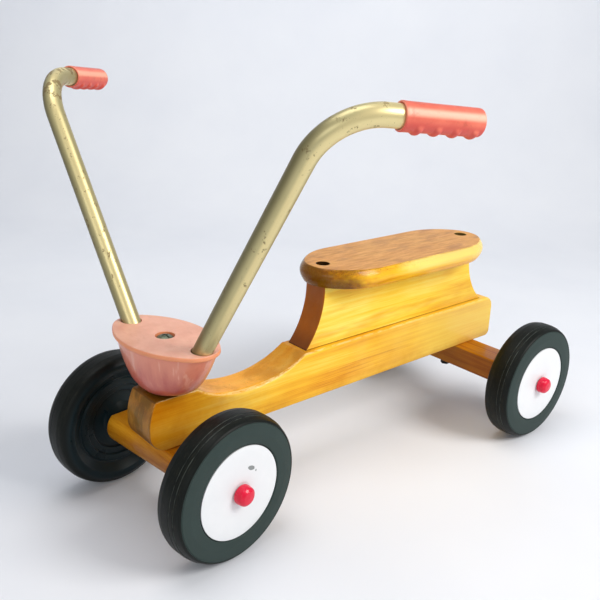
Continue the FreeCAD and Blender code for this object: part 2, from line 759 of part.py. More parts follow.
def make_column():
    washer_bottom = "Dim.front_block_top"
    turned("block_washer", STEERED, [
        ("Dim.post_radius", washer_bottom),
        ("Dim.block_washer_radius", washer_bottom),
        ("Dim.block_washer_radius", "Dim.beam_bottom - Dim.end_gap"),
        ("Dim.post_radius", "Dim.beam_bottom - Dim.end_gap"),
    ])
    turned("hub_washer", STEERED, [
        ("Dim.post_radius", "Dim.pad_top + Dim.end_gap"),
        ("Dim.hub_washer_radius", "Dim.pad_top + Dim.end_gap"),
        ("Dim.hub_washer_radius", "Dim.bowl_bottom"),
        ("Dim.post_radius", "Dim.bowl_bottom"),
    ])
    turned("column_bush", STANDING, [
        ("Dim.post_radius + Dim.running_gap", "Dim.beam_bottom"),
        ("Dim.column_bush_radius", "Dim.beam_bottom"),
        ("Dim.column_bush_radius", "Dim.pad_top"),
        ("Dim.post_radius + Dim.running_gap", "Dim.pad_top"),
    ])
    post = turned("steering_post", STEERED, [
        ("0", "Dim.post_bottom"),
        ("Dim.post_radius", "Dim.post_bottom"),
        ("Dim.post_radius", "Dim.bowl_bottom"),
        ("0", "Dim.bowl_bottom"),
    ])
    head = new_sketch(post, "post_head", "XY_Plane", ("0", "0", "Dim.bowl_bottom - 1"))
    draw(head, square("Dim.post_square"))
    extrude(post, head, "Dim.post_top - Dim.bowl_bottom + 1")
    upright_cylinder(
        post, "SubtractiveCylinder", "post_thread",
        ("0", "0", "Dim.post_top - Dim.hub_screw_depth"),
        "Dim.hub_screw_radius", "Dim.hub_screw_depth + 1",
    )
    bore_along_x(post, "post_cross_hole", "Dim.axle_trail")
    floor = VALUE["lid_top"] - VALUE["lid_recess_depth"]
    spot = HUB.multiply(FreeCAD.Placement(FreeCAD.Vector(0, 0, floor), FreeCAD.Rotation()))
    make_screw(
        "hub_screw", spot, "Dim.hub_screw_radius",
        "(Dim.lid_top - Dim.lid_recess_depth - Dim.post_top + Dim.hub_screw_depth)",
        "Dim.hub_screw_head_radius", "Dim.hub_screw_head_height",
    )


def square(side):
    half = "%s / 2" % side
    return [
        ("-" + half, "-" + half),
        (half, "-" + half),
        (half, half),
        ("-" + half, half),
    ]


def make_front_block():
    middle = FreeCAD.Vector(-VALUE["front_axle_shift"], 0, 0)
    body = new_body(
        "front_axle_block", STEERED.multiply(FreeCAD.Placement(middle, FreeCAD.Rotation()))
    )
    sketch = new_sketch(body, "front_block_section", "YZ_Plane")
    rise = "((Dim.front_block_top - Dim.front_block_bottom) / 2)"
    nose = "Dim.front_block_nose"
    nose_radius = "((%s * %s + %s * %s) / (2 * %s))" % (rise, rise, nose, nose, nose)
    front = "Dim.front_block_nose - Dim.block_depth / 2"
    draw(sketch, [
        (front, "Dim.front_block_bottom"),
        ("Dim.block_depth / 2", "Dim.front_block_bottom"),
        ("Dim.block_depth / 2", "Dim.front_block_top"),
        (front, "Dim.front_block_top", 1, nose_radius),
    ])
    extrude(body, sketch, "2 * (%s)" % BLOCK_END["front"], both_ways=True)
    round_edges(body, "front_block_rounding", lambda edge: True, "Dim.fine_edge_radius")
    upright_cylinder(
        body, "SubtractiveCylinder", "post_hole",
        ("Dim.front_axle_shift", "0", "Dim.post_bottom"),
        "Dim.post_radius", "Dim.front_block_top",
    )
    bore_along_x(body, "front_axle_bore", "Dim.axle_trail")


def bar_directions(side):
    """Unit vectors of the leaning tube, of the bend's inside and of the grip."""
    lean = math.radians(VALUE["tube_lean"])
    splay = math.radians(VALUE["grip_splay"])
    droop = math.radians(VALUE["grip_droop"])
    rising = FreeCAD.Vector(side * math.sin(lean), 0, math.cos(lean))
    grip = FreeCAD.Vector(
        side * math.cos(droop) * math.sin(splay),
        math.cos(droop) * math.cos(splay),
        -math.sin(droop),
    )
    inside = (grip - rising * rising.dot(grip)).normalize()
    return rising, inside, grip


def frame_of(origin, along, across):
    """Placement on the hub whose X axis is along and whose Y axis is across."""
    third = along.cross(across)
    matrix = FreeCAD.Matrix(
        along.x, across.x, third.x, origin.x,
        along.y, across.y, third.y, origin.y,
        along.z, across.z, third.z, origin.z,
        0, 0, 0, 1,
    )
    return HUB.multiply(FreeCAD.Placement(matrix))


def tube_point(side, height):
    """Point of the leaning tube's centre line at a height."""
    rising = bar_directions(side)[0]
    top = FreeCAD.Vector(side * VALUE["tube_half_spacing"], 0, VALUE["lid_top"])
    return top + rising * ((height - VALUE["lid_top"]) / rising.z)


BEND = (
    "acos(sin(Dim.tube_lean) * cos(Dim.grip_droop) * sin(Dim.grip_splay)"
    " - cos(Dim.tube_lean) * sin(Dim.grip_droop))"
)


def make_handlebar(name, side):
    rising, inside, grip = bar_directions(side)
    foot = tube_point(side, VALUE["tube_foot"])
    body = new_body("handlebar_tube_" + name, frame_of(foot, rising, inside))
    path = new_sketch(body, "tube_path_" + name, "XY_Plane")
    corner = "((Dim.bend_height - Dim.tube_foot) / cos(Dim.tube_lean))"
    tangent = "(Dim.bend_radius * tan(%s / 2))" % BEND
    draw(path, [
        ("0", "0"),
        ("%s - %s" % (corner, tangent), "0", 1, "Dim.bend_radius"),
        ("%s + %s * cos(%s)" % (corner, tangent, BEND), "%s * sin(%s)" % (tangent, BEND)),
        ("%s + Dim.tube_end * cos(%s)" % (corner, BEND), "Dim.tube_end * sin(%s)" % BEND),
    ], closed=False)
    section = new_sketch(body, "tube_section_" + name, "YZ_Plane")
    circle(section, "0", "0", "Dim.tube_radius")
    circle(section, "0", "0", "Dim.tube_radius - Dim.tube_wall")
    DOC.recompute()
    pipe = body.newObject("PartDesign::AdditivePipe", "tube_sweep_" + name)
    pipe.Profile = section
    pipe.Spine = path
    DOC.recompute()
    corner_point = tube_point(side, VALUE["bend_height"])
    make_grip(name, corner_point, grip)
    return body


def make_grip(name, corner, direction):
    """Closed-ended sleeve with four finger ridges on its underside."""
    down = FreeCAD.Vector(0, 0, -1)
    down = (down - direction * direction.dot(down)).normalize()
    start = corner + direction * VALUE["grip_start"]
    matrix = frame_of(start, down, direction.cross(down))
    length = "(Dim.grip_end - Dim.grip_start)"
    rounding = "Dim.grip_end_radius"
    body = turned("grip_" + name, matrix, [
        ("0", "0"),
        ("Dim.grip_radius - 0.8", "0"),
        ("Dim.grip_radius", "0.8"),
        ("Dim.grip_radius", "%s - %s" % (length, rounding), 1, rounding),
        ("Dim.grip_radius - %s" % rounding, length),
        ("0", length),
    ])
    # ridges: a ringed bar whose axis is shifted to the underside, so only its lower side shows
    shift = "Dim.grip_ridge_shift"
    valley = "(Dim.grip_radius + 0.2 - %s)" % shift
    half = "(Dim.grip_ridge_width / 2)"
    rise = "Dim.grip_ridge_height"
    crown = "((%s * %s + %s * %s) / (2 * %s))" % (half, half, rise, rise, rise)
    corners = [("0", "3")]
    corners += [(valley, "3")]
    for ridge in range(4):
        peak = "(Dim.grip_ridge_first + %d * Dim.grip_ridge_pitch)" % ridge
        corners += [
            (valley, "%s - %s" % (peak, half), 1, crown),
            (valley, "%s + %s" % (peak, half)),
        ]
    corners += [(valley, "%s - %s" % (length, rounding)), ("0", "%s - %s" % (length, rounding))]
    revolve(body, "ridges_" + name, corners, (shift, "0", "0"))
    upright_cylinder(
        body, "SubtractiveCylinder", "grip_bore_" + name, ("0", "0", "-1"),
        "Dim.tube_radius", "Dim.tube_end - Dim.grip_start + 1",
    )


def make_hub():
    lid = new_body("hub_lid", HUB)
    outline = new_sketch(lid, "lid_outline", "XY_Plane",
                         ("0", "0", "Dim.lid_top - Dim.lid_thickness"))
    turned_oval(outline, "Dim.lid_half_length", "Dim.lid_half_width", "Dim.lid_tip_radius")
    extrude(lid, outline, "Dim.lid_thickness")
    top = VALUE["lid_top"]
    round_edges(lid, "lid_rounding", lambda edge: abs(edge.BoundBox.ZMin - top) < 1e-4,
                "Dim.lid_edge_radius")
    upright_cylinder(
        lid, "SubtractiveCylinder", "lid_recess",
        ("0", "0", "Dim.lid_top - Dim.lid_recess_depth"), "Dim.lid_recess_radius", "10",
    )
    upright_cylinder(
        lid, "SubtractiveCylinder", "lid_screw_hole", ("0", "0", "Dim.lid_top - 20"),
        "Dim.hub_screw_radius", "20",
    )
    for side in (1, -1):
        tube_bore(lid, "lid_tube_hole", side, "Dim.tube_radius + Dim.lid_hole_gap", 20)

    bowl = new_body("hub_bowl", HUB)
    # (height above the floor, half length, half width, tip radius)
    hull = (
        (0.0, 21, 20, 19.5),
        (5.0, 35, 25.5, 22),
        (15.0, 45.5, 31, 24),
        (30.0, 55, 35, 25),
        (VALUE["lid_top"] - VALUE["lid_thickness"] - VALUE["bowl_bottom"], 64.5, 38.5, 25),
    )
    sections = []
    for index, (height, length, width, tip) in enumerate(hull):
        sketch = new_sketch(bowl, "bowl_section_%d" % index, "XY_Plane",
                            ("0", "0", "Dim.bowl_bottom + %g" % height))
        turned_oval(sketch, "%g" % length, "%g" % width, "%g" % tip)
        sections.append(sketch)
    DOC.recompute()
    loft(bowl, sections)
    hollow = []
    for index, (height, length, width, tip) in enumerate(hull[2:]):
        level = "Dim.bowl_floor" if index == 0 else "%g" % height
        sketch = new_sketch(bowl, "bowl_hollow_%d" % index, "XY_Plane",
                            ("0", "0", "Dim.bowl_bottom + " + level))
        turned_oval(sketch, "%g" % length, "%g" % width, "%g" % tip, "Dim.bowl_wall")
        hollow.append(sketch)
    DOC.recompute()
    loft(bowl, hollow, "SubtractiveLoft")
    for side in (1, -1):
        tube_bore(bowl, "socket_wall", side, "Dim.socket_radius", 0, "AdditiveCylinder")
    upright_cylinder(
        bowl, "AdditiveCylinder", "screw_boss", ("0", "0", "Dim.bowl_bottom + 5"),
        "Dim.hub_screw_radius + 3", "Dim.lid_top - Dim.lid_thickness - Dim.bowl_bottom - 5",
    )
    for side in (1, -1):
        tube_bore(bowl, "socket_bore", side, "Dim.tube_radius", 20)
    square_hole = new_sketch(bowl, "post_socket", "XY_Plane", ("0", "0", "Dim.bowl_bottom - 1"))
    square_hole.AttachmentOffset = FreeCAD.Placement(
        square_hole.AttachmentOffset.Base, FreeCAD.Rotation(Z_AXIS, -VALUE["hub_twist"])
    )
    draw(square_hole, square("Dim.post_square"))
    cut = bowl.newObject("PartDesign::Pocket", "post_socket_cut")
    cut.Profile = square_hole
    cut.Reversed = True
    bind(cut, {"Length": "Dim.post_top - Dim.bowl_bottom + 1"})
    DOC.recompute()
    upright_cylinder(
        bowl, "SubtractiveCylinder", "bowl_screw_hole", ("0", "0", "Dim.bowl_bottom"),
        "Dim.hub_screw_radius", "Dim.lid_top",
    )


def turned_oval(sketch, half_length, half_width, tip_radius, inset="0"):
    """Oval that is long across the vehicle: the sketch is turned by a quarter."""
    sketch.AttachmentOffset = FreeCAD.Placement(
        sketch.AttachmentOffset.Base, FreeCAD.Rotation(Z_AXIS, 90)
    )
    oval(sketch, half_length, half_width, tip_radius, "0", inset)


def tube_bore(body, name, side, radius, above, kind="SubtractiveCylinder"):
    """Cylinder round the leaning tube's centre line, from its foot to the lid or above it."""
    foot = tube_point(side, VALUE["tube_foot"])
    rising = bar_directions(side)[0]
    item = body.newObject("PartDesign::" + kind, name)
    item.AttachmentSupport = [(origin_plane(body, "XY_Plane"), "")]
    item.MapMode = "FlatFace"
    item.AttachmentOffset = FreeCAD.Placement(foot, facing(rising))
    height = "(Dim.lid_top - Dim.lid_thickness + %g - Dim.tube_foot) / cos(Dim.tube_lean)" % above
    if above == 0:
        height += " - Dim.socket_radius * tan(Dim.tube_lean)"
    bind(item, {"Radius": radius, "Height": height})
    DOC.recompute()
    return item


# ---------------------------------------------------------------- whole object

def check_and_write():
    DOC.recompute()
    failed = [o.Name for o in DOC.Objects if "Invalid" in o.State or "Error" in o.State]
    if failed:
        raise RuntimeError("failed: " + ", ".join(failed))
    os.makedirs("parts", exist_ok=True)
    for node in NODES:
        shape = node.Shape
        if shape.isNull() or not shape.isValid():
            raise RuntimeError(node.Label + " has no valid shape")
        shape.exportStep("parts/%s.step" % node.Label)
        print("%-24s solids %d volume %10.0f" % (node.Label, len(shape.Solids), shape.Volume))
    print(len(NODES), "nodes")


make_main_beam()
make_seat_riser()
make_seat_board()
make_wood_screws()
make_rear_block()
make_block_bolts()
make_column()
make_front_block()
make_hub()
for bar_name, bar_side in (("left", 1), ("right", -1)):
    make_handlebar(bar_name, bar_side)
for axle_end in ("front", "rear"):
    make_axle(axle_end)
    for wheel_side, side_name in ((1, "left"), (-1, "right")):
        wheel_name = "%s_%s" % (axle_end, side_name)
        make_wheel(wheel_name, axle_end, wheel_side)
        make_spacer(wheel_name, axle_end, wheel_side)
        make_cap(wheel_name, axle_end, wheel_side)
check_and_write()
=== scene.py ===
import json
import math

import bmesh
import bpy
from mathutils import Matrix, Vector
from mathutils.geometry import tessellate_polygon


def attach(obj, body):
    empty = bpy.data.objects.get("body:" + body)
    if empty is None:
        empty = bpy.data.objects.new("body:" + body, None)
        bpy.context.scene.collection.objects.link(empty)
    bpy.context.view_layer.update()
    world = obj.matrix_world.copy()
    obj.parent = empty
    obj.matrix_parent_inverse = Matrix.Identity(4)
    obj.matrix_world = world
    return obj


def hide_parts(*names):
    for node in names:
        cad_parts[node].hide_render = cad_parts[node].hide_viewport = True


MM = 0.001

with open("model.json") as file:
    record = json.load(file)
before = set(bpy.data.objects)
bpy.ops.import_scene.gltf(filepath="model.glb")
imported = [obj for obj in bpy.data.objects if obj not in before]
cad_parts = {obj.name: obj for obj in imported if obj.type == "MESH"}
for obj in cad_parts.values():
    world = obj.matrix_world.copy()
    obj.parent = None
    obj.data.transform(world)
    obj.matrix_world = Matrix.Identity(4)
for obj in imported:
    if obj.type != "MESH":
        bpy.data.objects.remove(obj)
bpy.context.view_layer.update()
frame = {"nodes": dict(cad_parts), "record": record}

# Dimensions in millimetres and degrees, as in the CAD model.
AXLE_TURN = 6.2
HUB_TURN = AXLE_TURN + 1.7
AXLE_SHIFT, AXLE_TRAIL = -4.8, 3.5
REAR_AXLE = 469.1
AXLE_HEIGHT = 76.2
FRONT_TRACK, REAR_TRACK = 95.5, 126.7
BLOCK_REACH = {"front": 76.0, "rear": 107.2}
PAD_TOP, DECK_TOP, BEAM_BOTTOM = 148.5, 151.0, 92.0
BEAM_REAR, BEAM_HALF_WIDTH = 523.0, 22.5
RISER_HALF_WIDTH, RISER_EDGE, BLOCK_EDGE = 16.0, 1.4, 1.6
SEAT_BOTTOM, SEAT_TOP = 222.8, 245.4
SEAT_MIDDLE, SEAT_HALF_WIDTH, SEAT_TIP_RADIUS = 334.0, 53.0, 38.0
SEAT_STRAIGHT, SEAT_END = 78.0, 71.0
SEAT_SCREWS = (207.2, 458.8)
COUNTERBORE_RADIUS, COUNTERBORE_DEPTH = 7.8, 6
RECESS_RADIUS, RECESS_DEPTH = 9.8, 3.6
LID_HALF_LENGTH, LID_HALF_WIDTH, LID_TIP_RADIUS = 68.0, 41.6, 26.0
LID_TOP, LID_BOTTOM, BOWL_BOTTOM = 206.0, 201.0, 150.3
TUBE_RADIUS = 9.525
TUBE_SPACING, TUBE_LEAN = 54.9, math.radians(30.7)
GRIP_SPLAY, GRIP_DROOP = math.radians(28.2), math.radians(4)
BEND_HEIGHT, BEND_RADIUS = 438.7, 55.0
TUBE_FOOT, TUBE_END, GRIP_START = 166.0, 123.0, 56.0
RIDGE_COUNT, RIDGE_FIRST, RIDGE_PITCH, RIDGE_HALF, RIDGE_HEIGHT = 4, 13.6, 16.4, 3.2, 2.0
RIDGE_REACH = 0.45  # how far down a point of the sleeve faces where the ridges begin
CAMERA_YAW, CAMERA_PITCH, CAMERA_ROLL = 0.8439, 0.3401, 0.0450  # radians

STEERED = Matrix.Rotation(math.radians(AXLE_TURN), 4, "Z")
HUB = Matrix.Rotation(math.radians(HUB_TURN), 4, "Z")


# ---- materials

class Paint:
    """Node tree of one material. Positions are the piece's own, in millimetres."""

    def __init__(self, name, **shader):
        self.material = bpy.data.materials.new(name)
        self.material.use_nodes = True
        self.tree = self.material.node_tree
        self.tree.nodes.clear()
        output = self.node("ShaderNodeOutputMaterial")
        self.shader = self.node("ShaderNodeBsdfPrincipled")
        self.tree.links.new(self.shader.outputs[0], output.inputs[0])
        for key, value in shader.items():
            self.shader.inputs[key.replace("_", " ")].default_value = value
        coordinates = self.node("ShaderNodeTexCoord")
        self.where = self.vector("SCALE", coordinates.outputs["Object"], scale=1000.0)
        self.x, self.y, self.z = self.split(self.where)
        self.normal = coordinates.outputs["Normal"]

    def node(self, kind, **settings):
        item = self.tree.nodes.new(kind)
        for key, value in settings.items():
            setattr(item, key, value)
        return item

    def feed(self, socket, value):
        if isinstance(value, bpy.types.NodeSocket):
            self.tree.links.new(value, socket)
        else:
            socket.default_value = value

    def vector(self, operation, a, b=None, scale=None):
        item = self.node("ShaderNodeVectorMath", operation=operation)
        self.feed(item.inputs[0], a)
        if b is not None:
            self.feed(item.inputs[1], b)
        if scale is not None:
            self.feed(item.inputs["Scale"], scale)
        return item.outputs["Value" if operation in ("LENGTH", "DOT_PRODUCT") else "Vector"]

    def split(self, value):
        item = self.node("ShaderNodeSeparateXYZ")
        self.feed(item.inputs[0], value)
        return item.outputs

    def join(self, x, y, z):
        item = self.node("ShaderNodeCombineXYZ")
        for socket, value in zip(item.inputs, (x, y, z)):
            self.feed(socket, value)
        return item.outputs[0]

    def math(self, operation, a, b=0.0, clamp=False):
        item = self.node("ShaderNodeMath", operation=operation, use_clamp=clamp)
        self.feed(item.inputs[0], a)
        self.feed(item.inputs[1], b)
        return item.outputs[0]

    def add(self, a, b, clamp=False):
        return self.math("ADD", a, b, clamp)

    def mul(self, a, b):
        return self.math("MULTIPLY", a, b)

    def most(self, a, b):
        return self.math("MAXIMUM", a, b)

    def step(self, value, low, high):
        """0 at low, 1 at high; low may be above high."""
        item = self.node("ShaderNodeMapRange", interpolation_type="SMOOTHSTEP")
        self.feed(item.inputs["Value"], value)
        self.feed(item.inputs["From Min"], low)
        self.feed(item.inputs["From Max"], high)
        return item.outputs["Result"]

    def band(self, value, middle, half, soft):
        """1 within half of middle, falling to 0 over soft."""
        distance = self.math("ABSOLUTE", self.add(value, -middle))
        return self.step(distance, half + soft, half)

    def stretch(self, factors, shift=(0, 0, 0)):
        return self.vector("ADD", self.vector("MULTIPLY", self.where, factors), shift)

    def noise(self, vector, scale=1.0, detail=3.0, rough=0.55):
        item = self.node("ShaderNodeTexNoise")
        self.feed(item.inputs["Vector"], vector)
        item.inputs["Scale"].default_value = scale
        item.inputs["Detail"].default_value = detail
        item.inputs["Roughness"].default_value = rough
        return item.outputs[0]

    def ramp(self, factor, stops):
        item = self.node("ShaderNodeValToRGB")
        self.feed(item.inputs[0], factor)
        points = item.color_ramp.elements
        while len(points) < len(stops):
            points.new(0.5)
        for point, (place, colour) in zip(points, stops):
            point.position = place
            point.color = tone(colour)
        return item.outputs[0]

    def mix(self, factor, a, b):
        item = self.node("ShaderNodeMix", data_type="RGBA")
        self.feed(item.inputs["Factor"], factor)
        self.feed(item.inputs["A"], tone(a) if isinstance(a, tuple) else a)
        self.feed(item.inputs["B"], tone(b) if isinstance(b, tuple) else b)
        return item.outputs["Result"]

    def bump(self, height, distance, strength=1.0, below=None):
        """Height from 0 to 1 stands for a distance in millimetres."""
        item = self.node("ShaderNodeBump")
        item.inputs["Distance"].default_value = distance * MM
        item.inputs["Strength"].default_value = strength
        self.feed(item.inputs["Height"], height)
        if below is not None:
            self.feed(item.inputs["Normal"], below)
        return item.outputs[0]

    def finish(self, colour, roughness=None, normal=None, metallic=None):
        for name, value in (
            ("Base Color", colour), ("Roughness", roughness),
            ("Normal", normal), ("Metallic", metallic),
        ):
            if value is not None:
                self.feed(self.shader.inputs[name], value)
        return self.material


def tone(colour):
    """Linear colour from sRGB values of 0 to 255."""
    linear = []
    for value in colour:
        value /= 255
        linear.append(value / 12.92 if value < 0.04045 else ((value + 0.055) / 1.055) ** 2.4)
    return (*linear, 1.0)


def wood(name, stops, pith, seed, stain_and_light, rough=0.32, grain=(0, 1, 2)):
    """Lacquered board; grain orders the axes as (across, along, up), pith is in the end grain."""
    p = Paint(name, Coat_Weight=0.25, Coat_Roughness=0.12, Coat_IOR=1.45,
              Specular_IOR_Level=0.14)
    axes = [p.x, p.y, p.z]
    across, along, up = (axes[index] for index in grain)
    board = p.join(across, along, up)

    def field(factors, shift, detail, rough_detail=0.55):
        moved = p.vector("ADD", p.vector("MULTIPLY", board, factors), shift)
        return p.noise(moved, 1.0, detail, rough_detail)

    wander = field((0.005, 0.002, 0.005), (seed, 0, 0), 2)
    wander_up = field((0.005, 0.002, 0.005), (0, seed, 9), 2)
    side = p.add(p.add(across, -pith[0]), p.mul(wander, 60))
    rise = p.add(p.add(up, -pith[1]), p.mul(wander_up, 60))
    radius = p.math("SQRT", p.add(p.mul(side, side), p.mul(rise, rise)))
    turn = p.math("FRACT", p.mul(radius, 0.16))
    late = p.mul(p.step(turn, 0.35, 0.93), p.step(turn, 1.0, 0.93))
    streak = field((0.10, 0.003, 0.10), (seed, 3, 1), 3, 0.6)
    fibre = field((0.9, 0.012, 0.9), (0, 0, seed), 4, 0.65)
    cloud = field((0.014, 0.006, 0.014), (seed, 5, 0), 3)
    value = p.add(p.mul(late, 0.07), p.mul(p.add(fibre, -0.5), 0.7))
    value = p.add(value, p.mul(p.add(streak, -0.5), 1.2))
    value = p.add(p.add(value, p.mul(p.add(cloud, -0.5), 1.3)), 0.42, True)
    colour = p.ramp(value, stops)
    pores = p.step(field((2.4, 0.06, 2.4), (seed, 1, 1), 2, 0.5), 0.68, 0.76)
    colour = p.mix(p.mul(pores, 0.28), colour, (120, 62, 14))
    roughness = p.add(p.mul(fibre, 0.14), rough)
    # this step adds stains and worn marks, and on some boards painted light and shade
    colour, roughness = stain_and_light(p, colour, roughness)
    normal = p.bump(p.add(fibre, p.mul(late, 0.2)), 0.035, 0.5)
    dents = p.step(field((0.07, 0.04, 0.07), (seed, 2, 7), 4, 0.6), 0.2, 0.8)
    normal = p.bump(dents, 0.30, 0.5, normal)
    return p.finish(colour, roughness, normal)


def speckle(p, size, amount, seed):
    """Small scattered spots; size in millimetres, amount from 0 to 1."""
    field = p.noise(p.stretch((1 / size,) * 3, (seed, seed * 2, 3)), 1.0, 3, 0.7)
    return p.step(field, 0.74 - 0.3 * amount, 0.80 - 0.3 * amount)


def beam_stain_and_light(p, colour, roughness):
    """Dirt and worn spots on the beam, with painted light and shade, as the photograph shows them.
    """
    facing = p.split(p.normal)
    patch = p.noise(p.stretch((0.035, 0.03, 0.035), (3, 0, 8)), 1.0, 4, 0.65)
    smear = p.noise(p.stretch((0.09, 0.09, 0.022), (6, 1, 2)), 1.0, 4, 0.65)
    # nose front olive-brown, darker low down; pad round the hub darkened as painted shade under
    # the hub; top of the dip worn and dirty
    nose = p.mul(p.step(facing[1], -0.2, -0.75), p.step(p.y, 0, -18))
    top = p.step(facing[2], 0.40, 0.80)
    pad = p.mul(top, p.step(p.y, 40, 14))
    dip = p.mul(top, p.mul(p.step(p.y, 16, 40), p.step(p.y, 196, 168)))
    flank = p.step(p.math("ABSOLUTE", facing[0]), 0.5, 0.85)
    # painted shade on the front of the flanks, painted light towards the rear
    shade = p.mul(flank, p.step(p.add(p.y, p.mul(patch, 120)), 210, -10))
    colour = p.mix(p.mul(shade, 0.78), colour, (182, 98, 0))
    bright = p.mul(flank, p.step(p.add(p.y, p.mul(patch, 160)), 240, 520))
    colour = p.mix(p.mul(bright, 0.45), colour, (255, 226, 124))
    foot = p.mul(flank, p.step(p.add(p.z, p.mul(patch, 26)), 122, 96))
    colour = p.mix(p.mul(foot, 0.42), colour, (158, 74, 0))
    olive = p.mix(p.step(smear, 0.40, 0.62), (98, 60, 10), (154, 96, 26))
    colour = p.mix(p.mul(nose, 0.90), colour, olive)
    colour = p.mix(p.mul(nose, p.mul(p.step(p.z, 122, 100), 0.6)), colour, (84, 32, 10))
    # painted shade on the pad under the hub
    colour = p.mix(p.mul(pad, 0.90), colour, p.mix(patch, (52, 32, 4), (136, 86, 8)))
    grime = p.mul(dip, p.step(patch, 0.40, 0.66))
    worn_dip = p.mix(p.step(p.y, 95, 150), (232, 146, 8), (178, 100, 6))
    colour = p.mix(p.mul(dip, 0.66), colour, worn_dip)
    colour = p.mix(p.mul(grime, 0.36), colour, (150, 84, 4))
    dust = p.mul(p.add(p.mul(dip, 0.8), p.add(p.mul(pad, 0.8), p.mul(nose, 0.5))),
                 speckle(p, 1.6, 0.34, 4))
    colour = p.mix(p.mul(dust, 0.75), colour, (66, 38, 14))
    colour = p.mix(p.mul(speckle(p, 2.4, 0.08, 14), 0.5), colour, (92, 52, 18))
    # painted highlight: a pale line where the rounding meets the side, broken into gaps
    highlight_gaps = p.noise(p.stretch((0.3, 0.08, 0.3), (2, 2, 2)), 1.0, 3, 0.7)
    rounding = p.band(p.math("ABSOLUTE", facing[0]), 0.62, 0.16, 0.12)
    edge = p.mul(rounding, p.mul(p.step(facing[2], 0.2, 0.5), p.step(highlight_gaps, 0.36, 0.60)))
    colour = p.mix(p.mul(edge, 0.55), colour, (250, 222, 150))
    rear = p.mul(p.step(facing[1], 0.3, 0.8), p.step(p.y, 490, 515))
    colour = p.mix(p.mul(rear, 0.55), colour, (168, 104, 36))
    roughness = p.add(roughness, p.mul(grime, 0.16))
    return colour, p.add(roughness, p.mul(pad, 0.25))


def riser_stain(p, colour, roughness):
    """Dark ends, a darker seam along the foot and worn streaks on the sides."""
    facing = p.split(p.normal)
    patch = p.noise(p.stretch((0.04, 0.03, 0.02), (1, 4, 8)), 1.0, 4, 0.6)
    end = p.step(p.math("ABSOLUTE", facing[1]), 0.25, 0.7)
    front = p.mul(end, p.step(p.y, 260, 210))
    colour = p.mix(p.mul(end, 0.45), colour, (196, 112, 30))
    colour = p.mix(p.mul(front, 0.90), colour, p.mix(patch, (126, 50, 0), (186, 92, 4)))
    low = p.mul(front, p.step(p.z, 176, 152))
    colour = p.mix(p.mul(low, 0.6), colour, (66, 32, 12))
    drift = p.noise(p.stretch((0.03, 0.008, 0.045), (1, 4, 8)), 1.0, 3, 0.6)
    worn = p.mul(p.step(drift, 0.50, 0.68), p.step(p.math("ABSOLUTE", facing[0]), 0.6, 0.9))
    colour = p.mix(p.mul(worn, 0.40), colour, (226, 142, 40))
    seam = p.step(p.z, 152.6, 151.3)
    colour = p.mix(p.mul(seam, 0.85), colour, (70, 34, 12))
    return colour, roughness


def seat_stain_and_sheen(p, colour, roughness):
    """Worn top, stained front end, a pale painted highlight on the rear side, and dark
    counterbores.
    """
    facing = p.split(p.normal)
    top = p.step(facing[2], 0.90, 0.985)
    side = p.add(1.0, p.mul(top, -1.0))
    patch = p.noise(p.stretch((0.05, 0.022, 0.05), (1, 0, 5)), 1.0, 4, 0.6)
    worn = p.noise(p.stretch((0.22, 0.03, 0.22), (1, 8, 5)), 1.0, 6, 0.72)
    tan = p.mix(p.step(worn, 0.30, 0.70), (182, 118, 46), (220, 158, 84))
    colour = p.mix(p.mul(top, 0.92), colour, tan)
    colour = p.mix(p.mul(p.mul(top, p.step(patch, 0.50, 0.70)), 0.45), colour, (142, 88, 42))
    fresh = p.mul(top, p.mul(p.step(p.y, 420, 470), p.step(patch, 0.62, 0.42)))
    colour = p.mix(p.mul(fresh, 0.5), colour, (226, 158, 62))
    # painted highlight on the rear of the sides; dirt: the front end, and grit along the upper
    # edge
    drift = p.add(p.y, p.mul(p.add(patch, -0.5), 110))
    pale = p.mul(p.mul(side, p.step(drift, 270, 330)), p.step(p.z, 226, 238))
    colour = p.mix(p.mul(pale, 0.60), colour, (255, 232, 140))
    front = p.mul(side, p.step(drift, 262, 196))
    colour = p.mix(p.mul(front, 0.88), colour, p.mix(patch, (56, 32, 2), (128, 70, 6)))
    grit = p.mul(p.mul(side, speckle(p, 1.0, 0.62, 2)), p.step(p.z, 236.5, 244.5))
    grit = p.mul(grit, p.step(drift, 400, 240))
    colour = p.mix(p.mul(grit, 0.85), colour, (52, 30, 12))
    for screw in SEAT_SCREWS:
        reach = p.vector("LENGTH", p.vector("SUBTRACT", p.where, (0, screw, SEAT_TOP - 3.0)))
        colour = p.mix(p.mul(p.step(reach, 8.9, 8.4), 0.9), colour, (34, 22, 10))
    specks = p.mul(top, p.most(speckle(p, 1.3, 0.34, 7), speckle(p, 3.0, 0.22, 17)))
    colour = p.mix(p.mul(specks, 0.50), colour, (112, 68, 32))
    rim = p.mul(p.band(facing[2], 0.80, 0.10, 0.10), p.step(worn, 0.42, 0.56))
    colour = p.mix(p.mul(rim, 0.45), colour, (120, 70, 26))
    return colour, p.add(roughness, p.mul(top, 0.24))


def block_stain(p, colour, roughness):
    """Darker below, with scratches along the grain."""
    facing = p.split(p.normal)
    lower = p.step(facing[2], 0.55, -0.1)
    smear = p.noise(p.stretch((0.014, 0.14, 0.14), (3, 3, 3)), 1.0, 4, 0.65)
    colour = p.mix(p.mul(lower, 0.45), colour, p.mix(smear, (66, 34, 0), (146, 82, 6)))
    scratch = p.step(p.noise(p.stretch((0.05, 0.9, 0.9), (5, 1, 1)), 1.0, 3, 0.7), 0.66, 0.72)
    colour = p.mix(p.mul(scratch, 0.45), colour, (214, 166, 92))
    colour = p.mix(p.mul(speckle(p, 1.5, 0.2, 9), 0.55), colour, (60, 32, 12))
    return colour, roughness


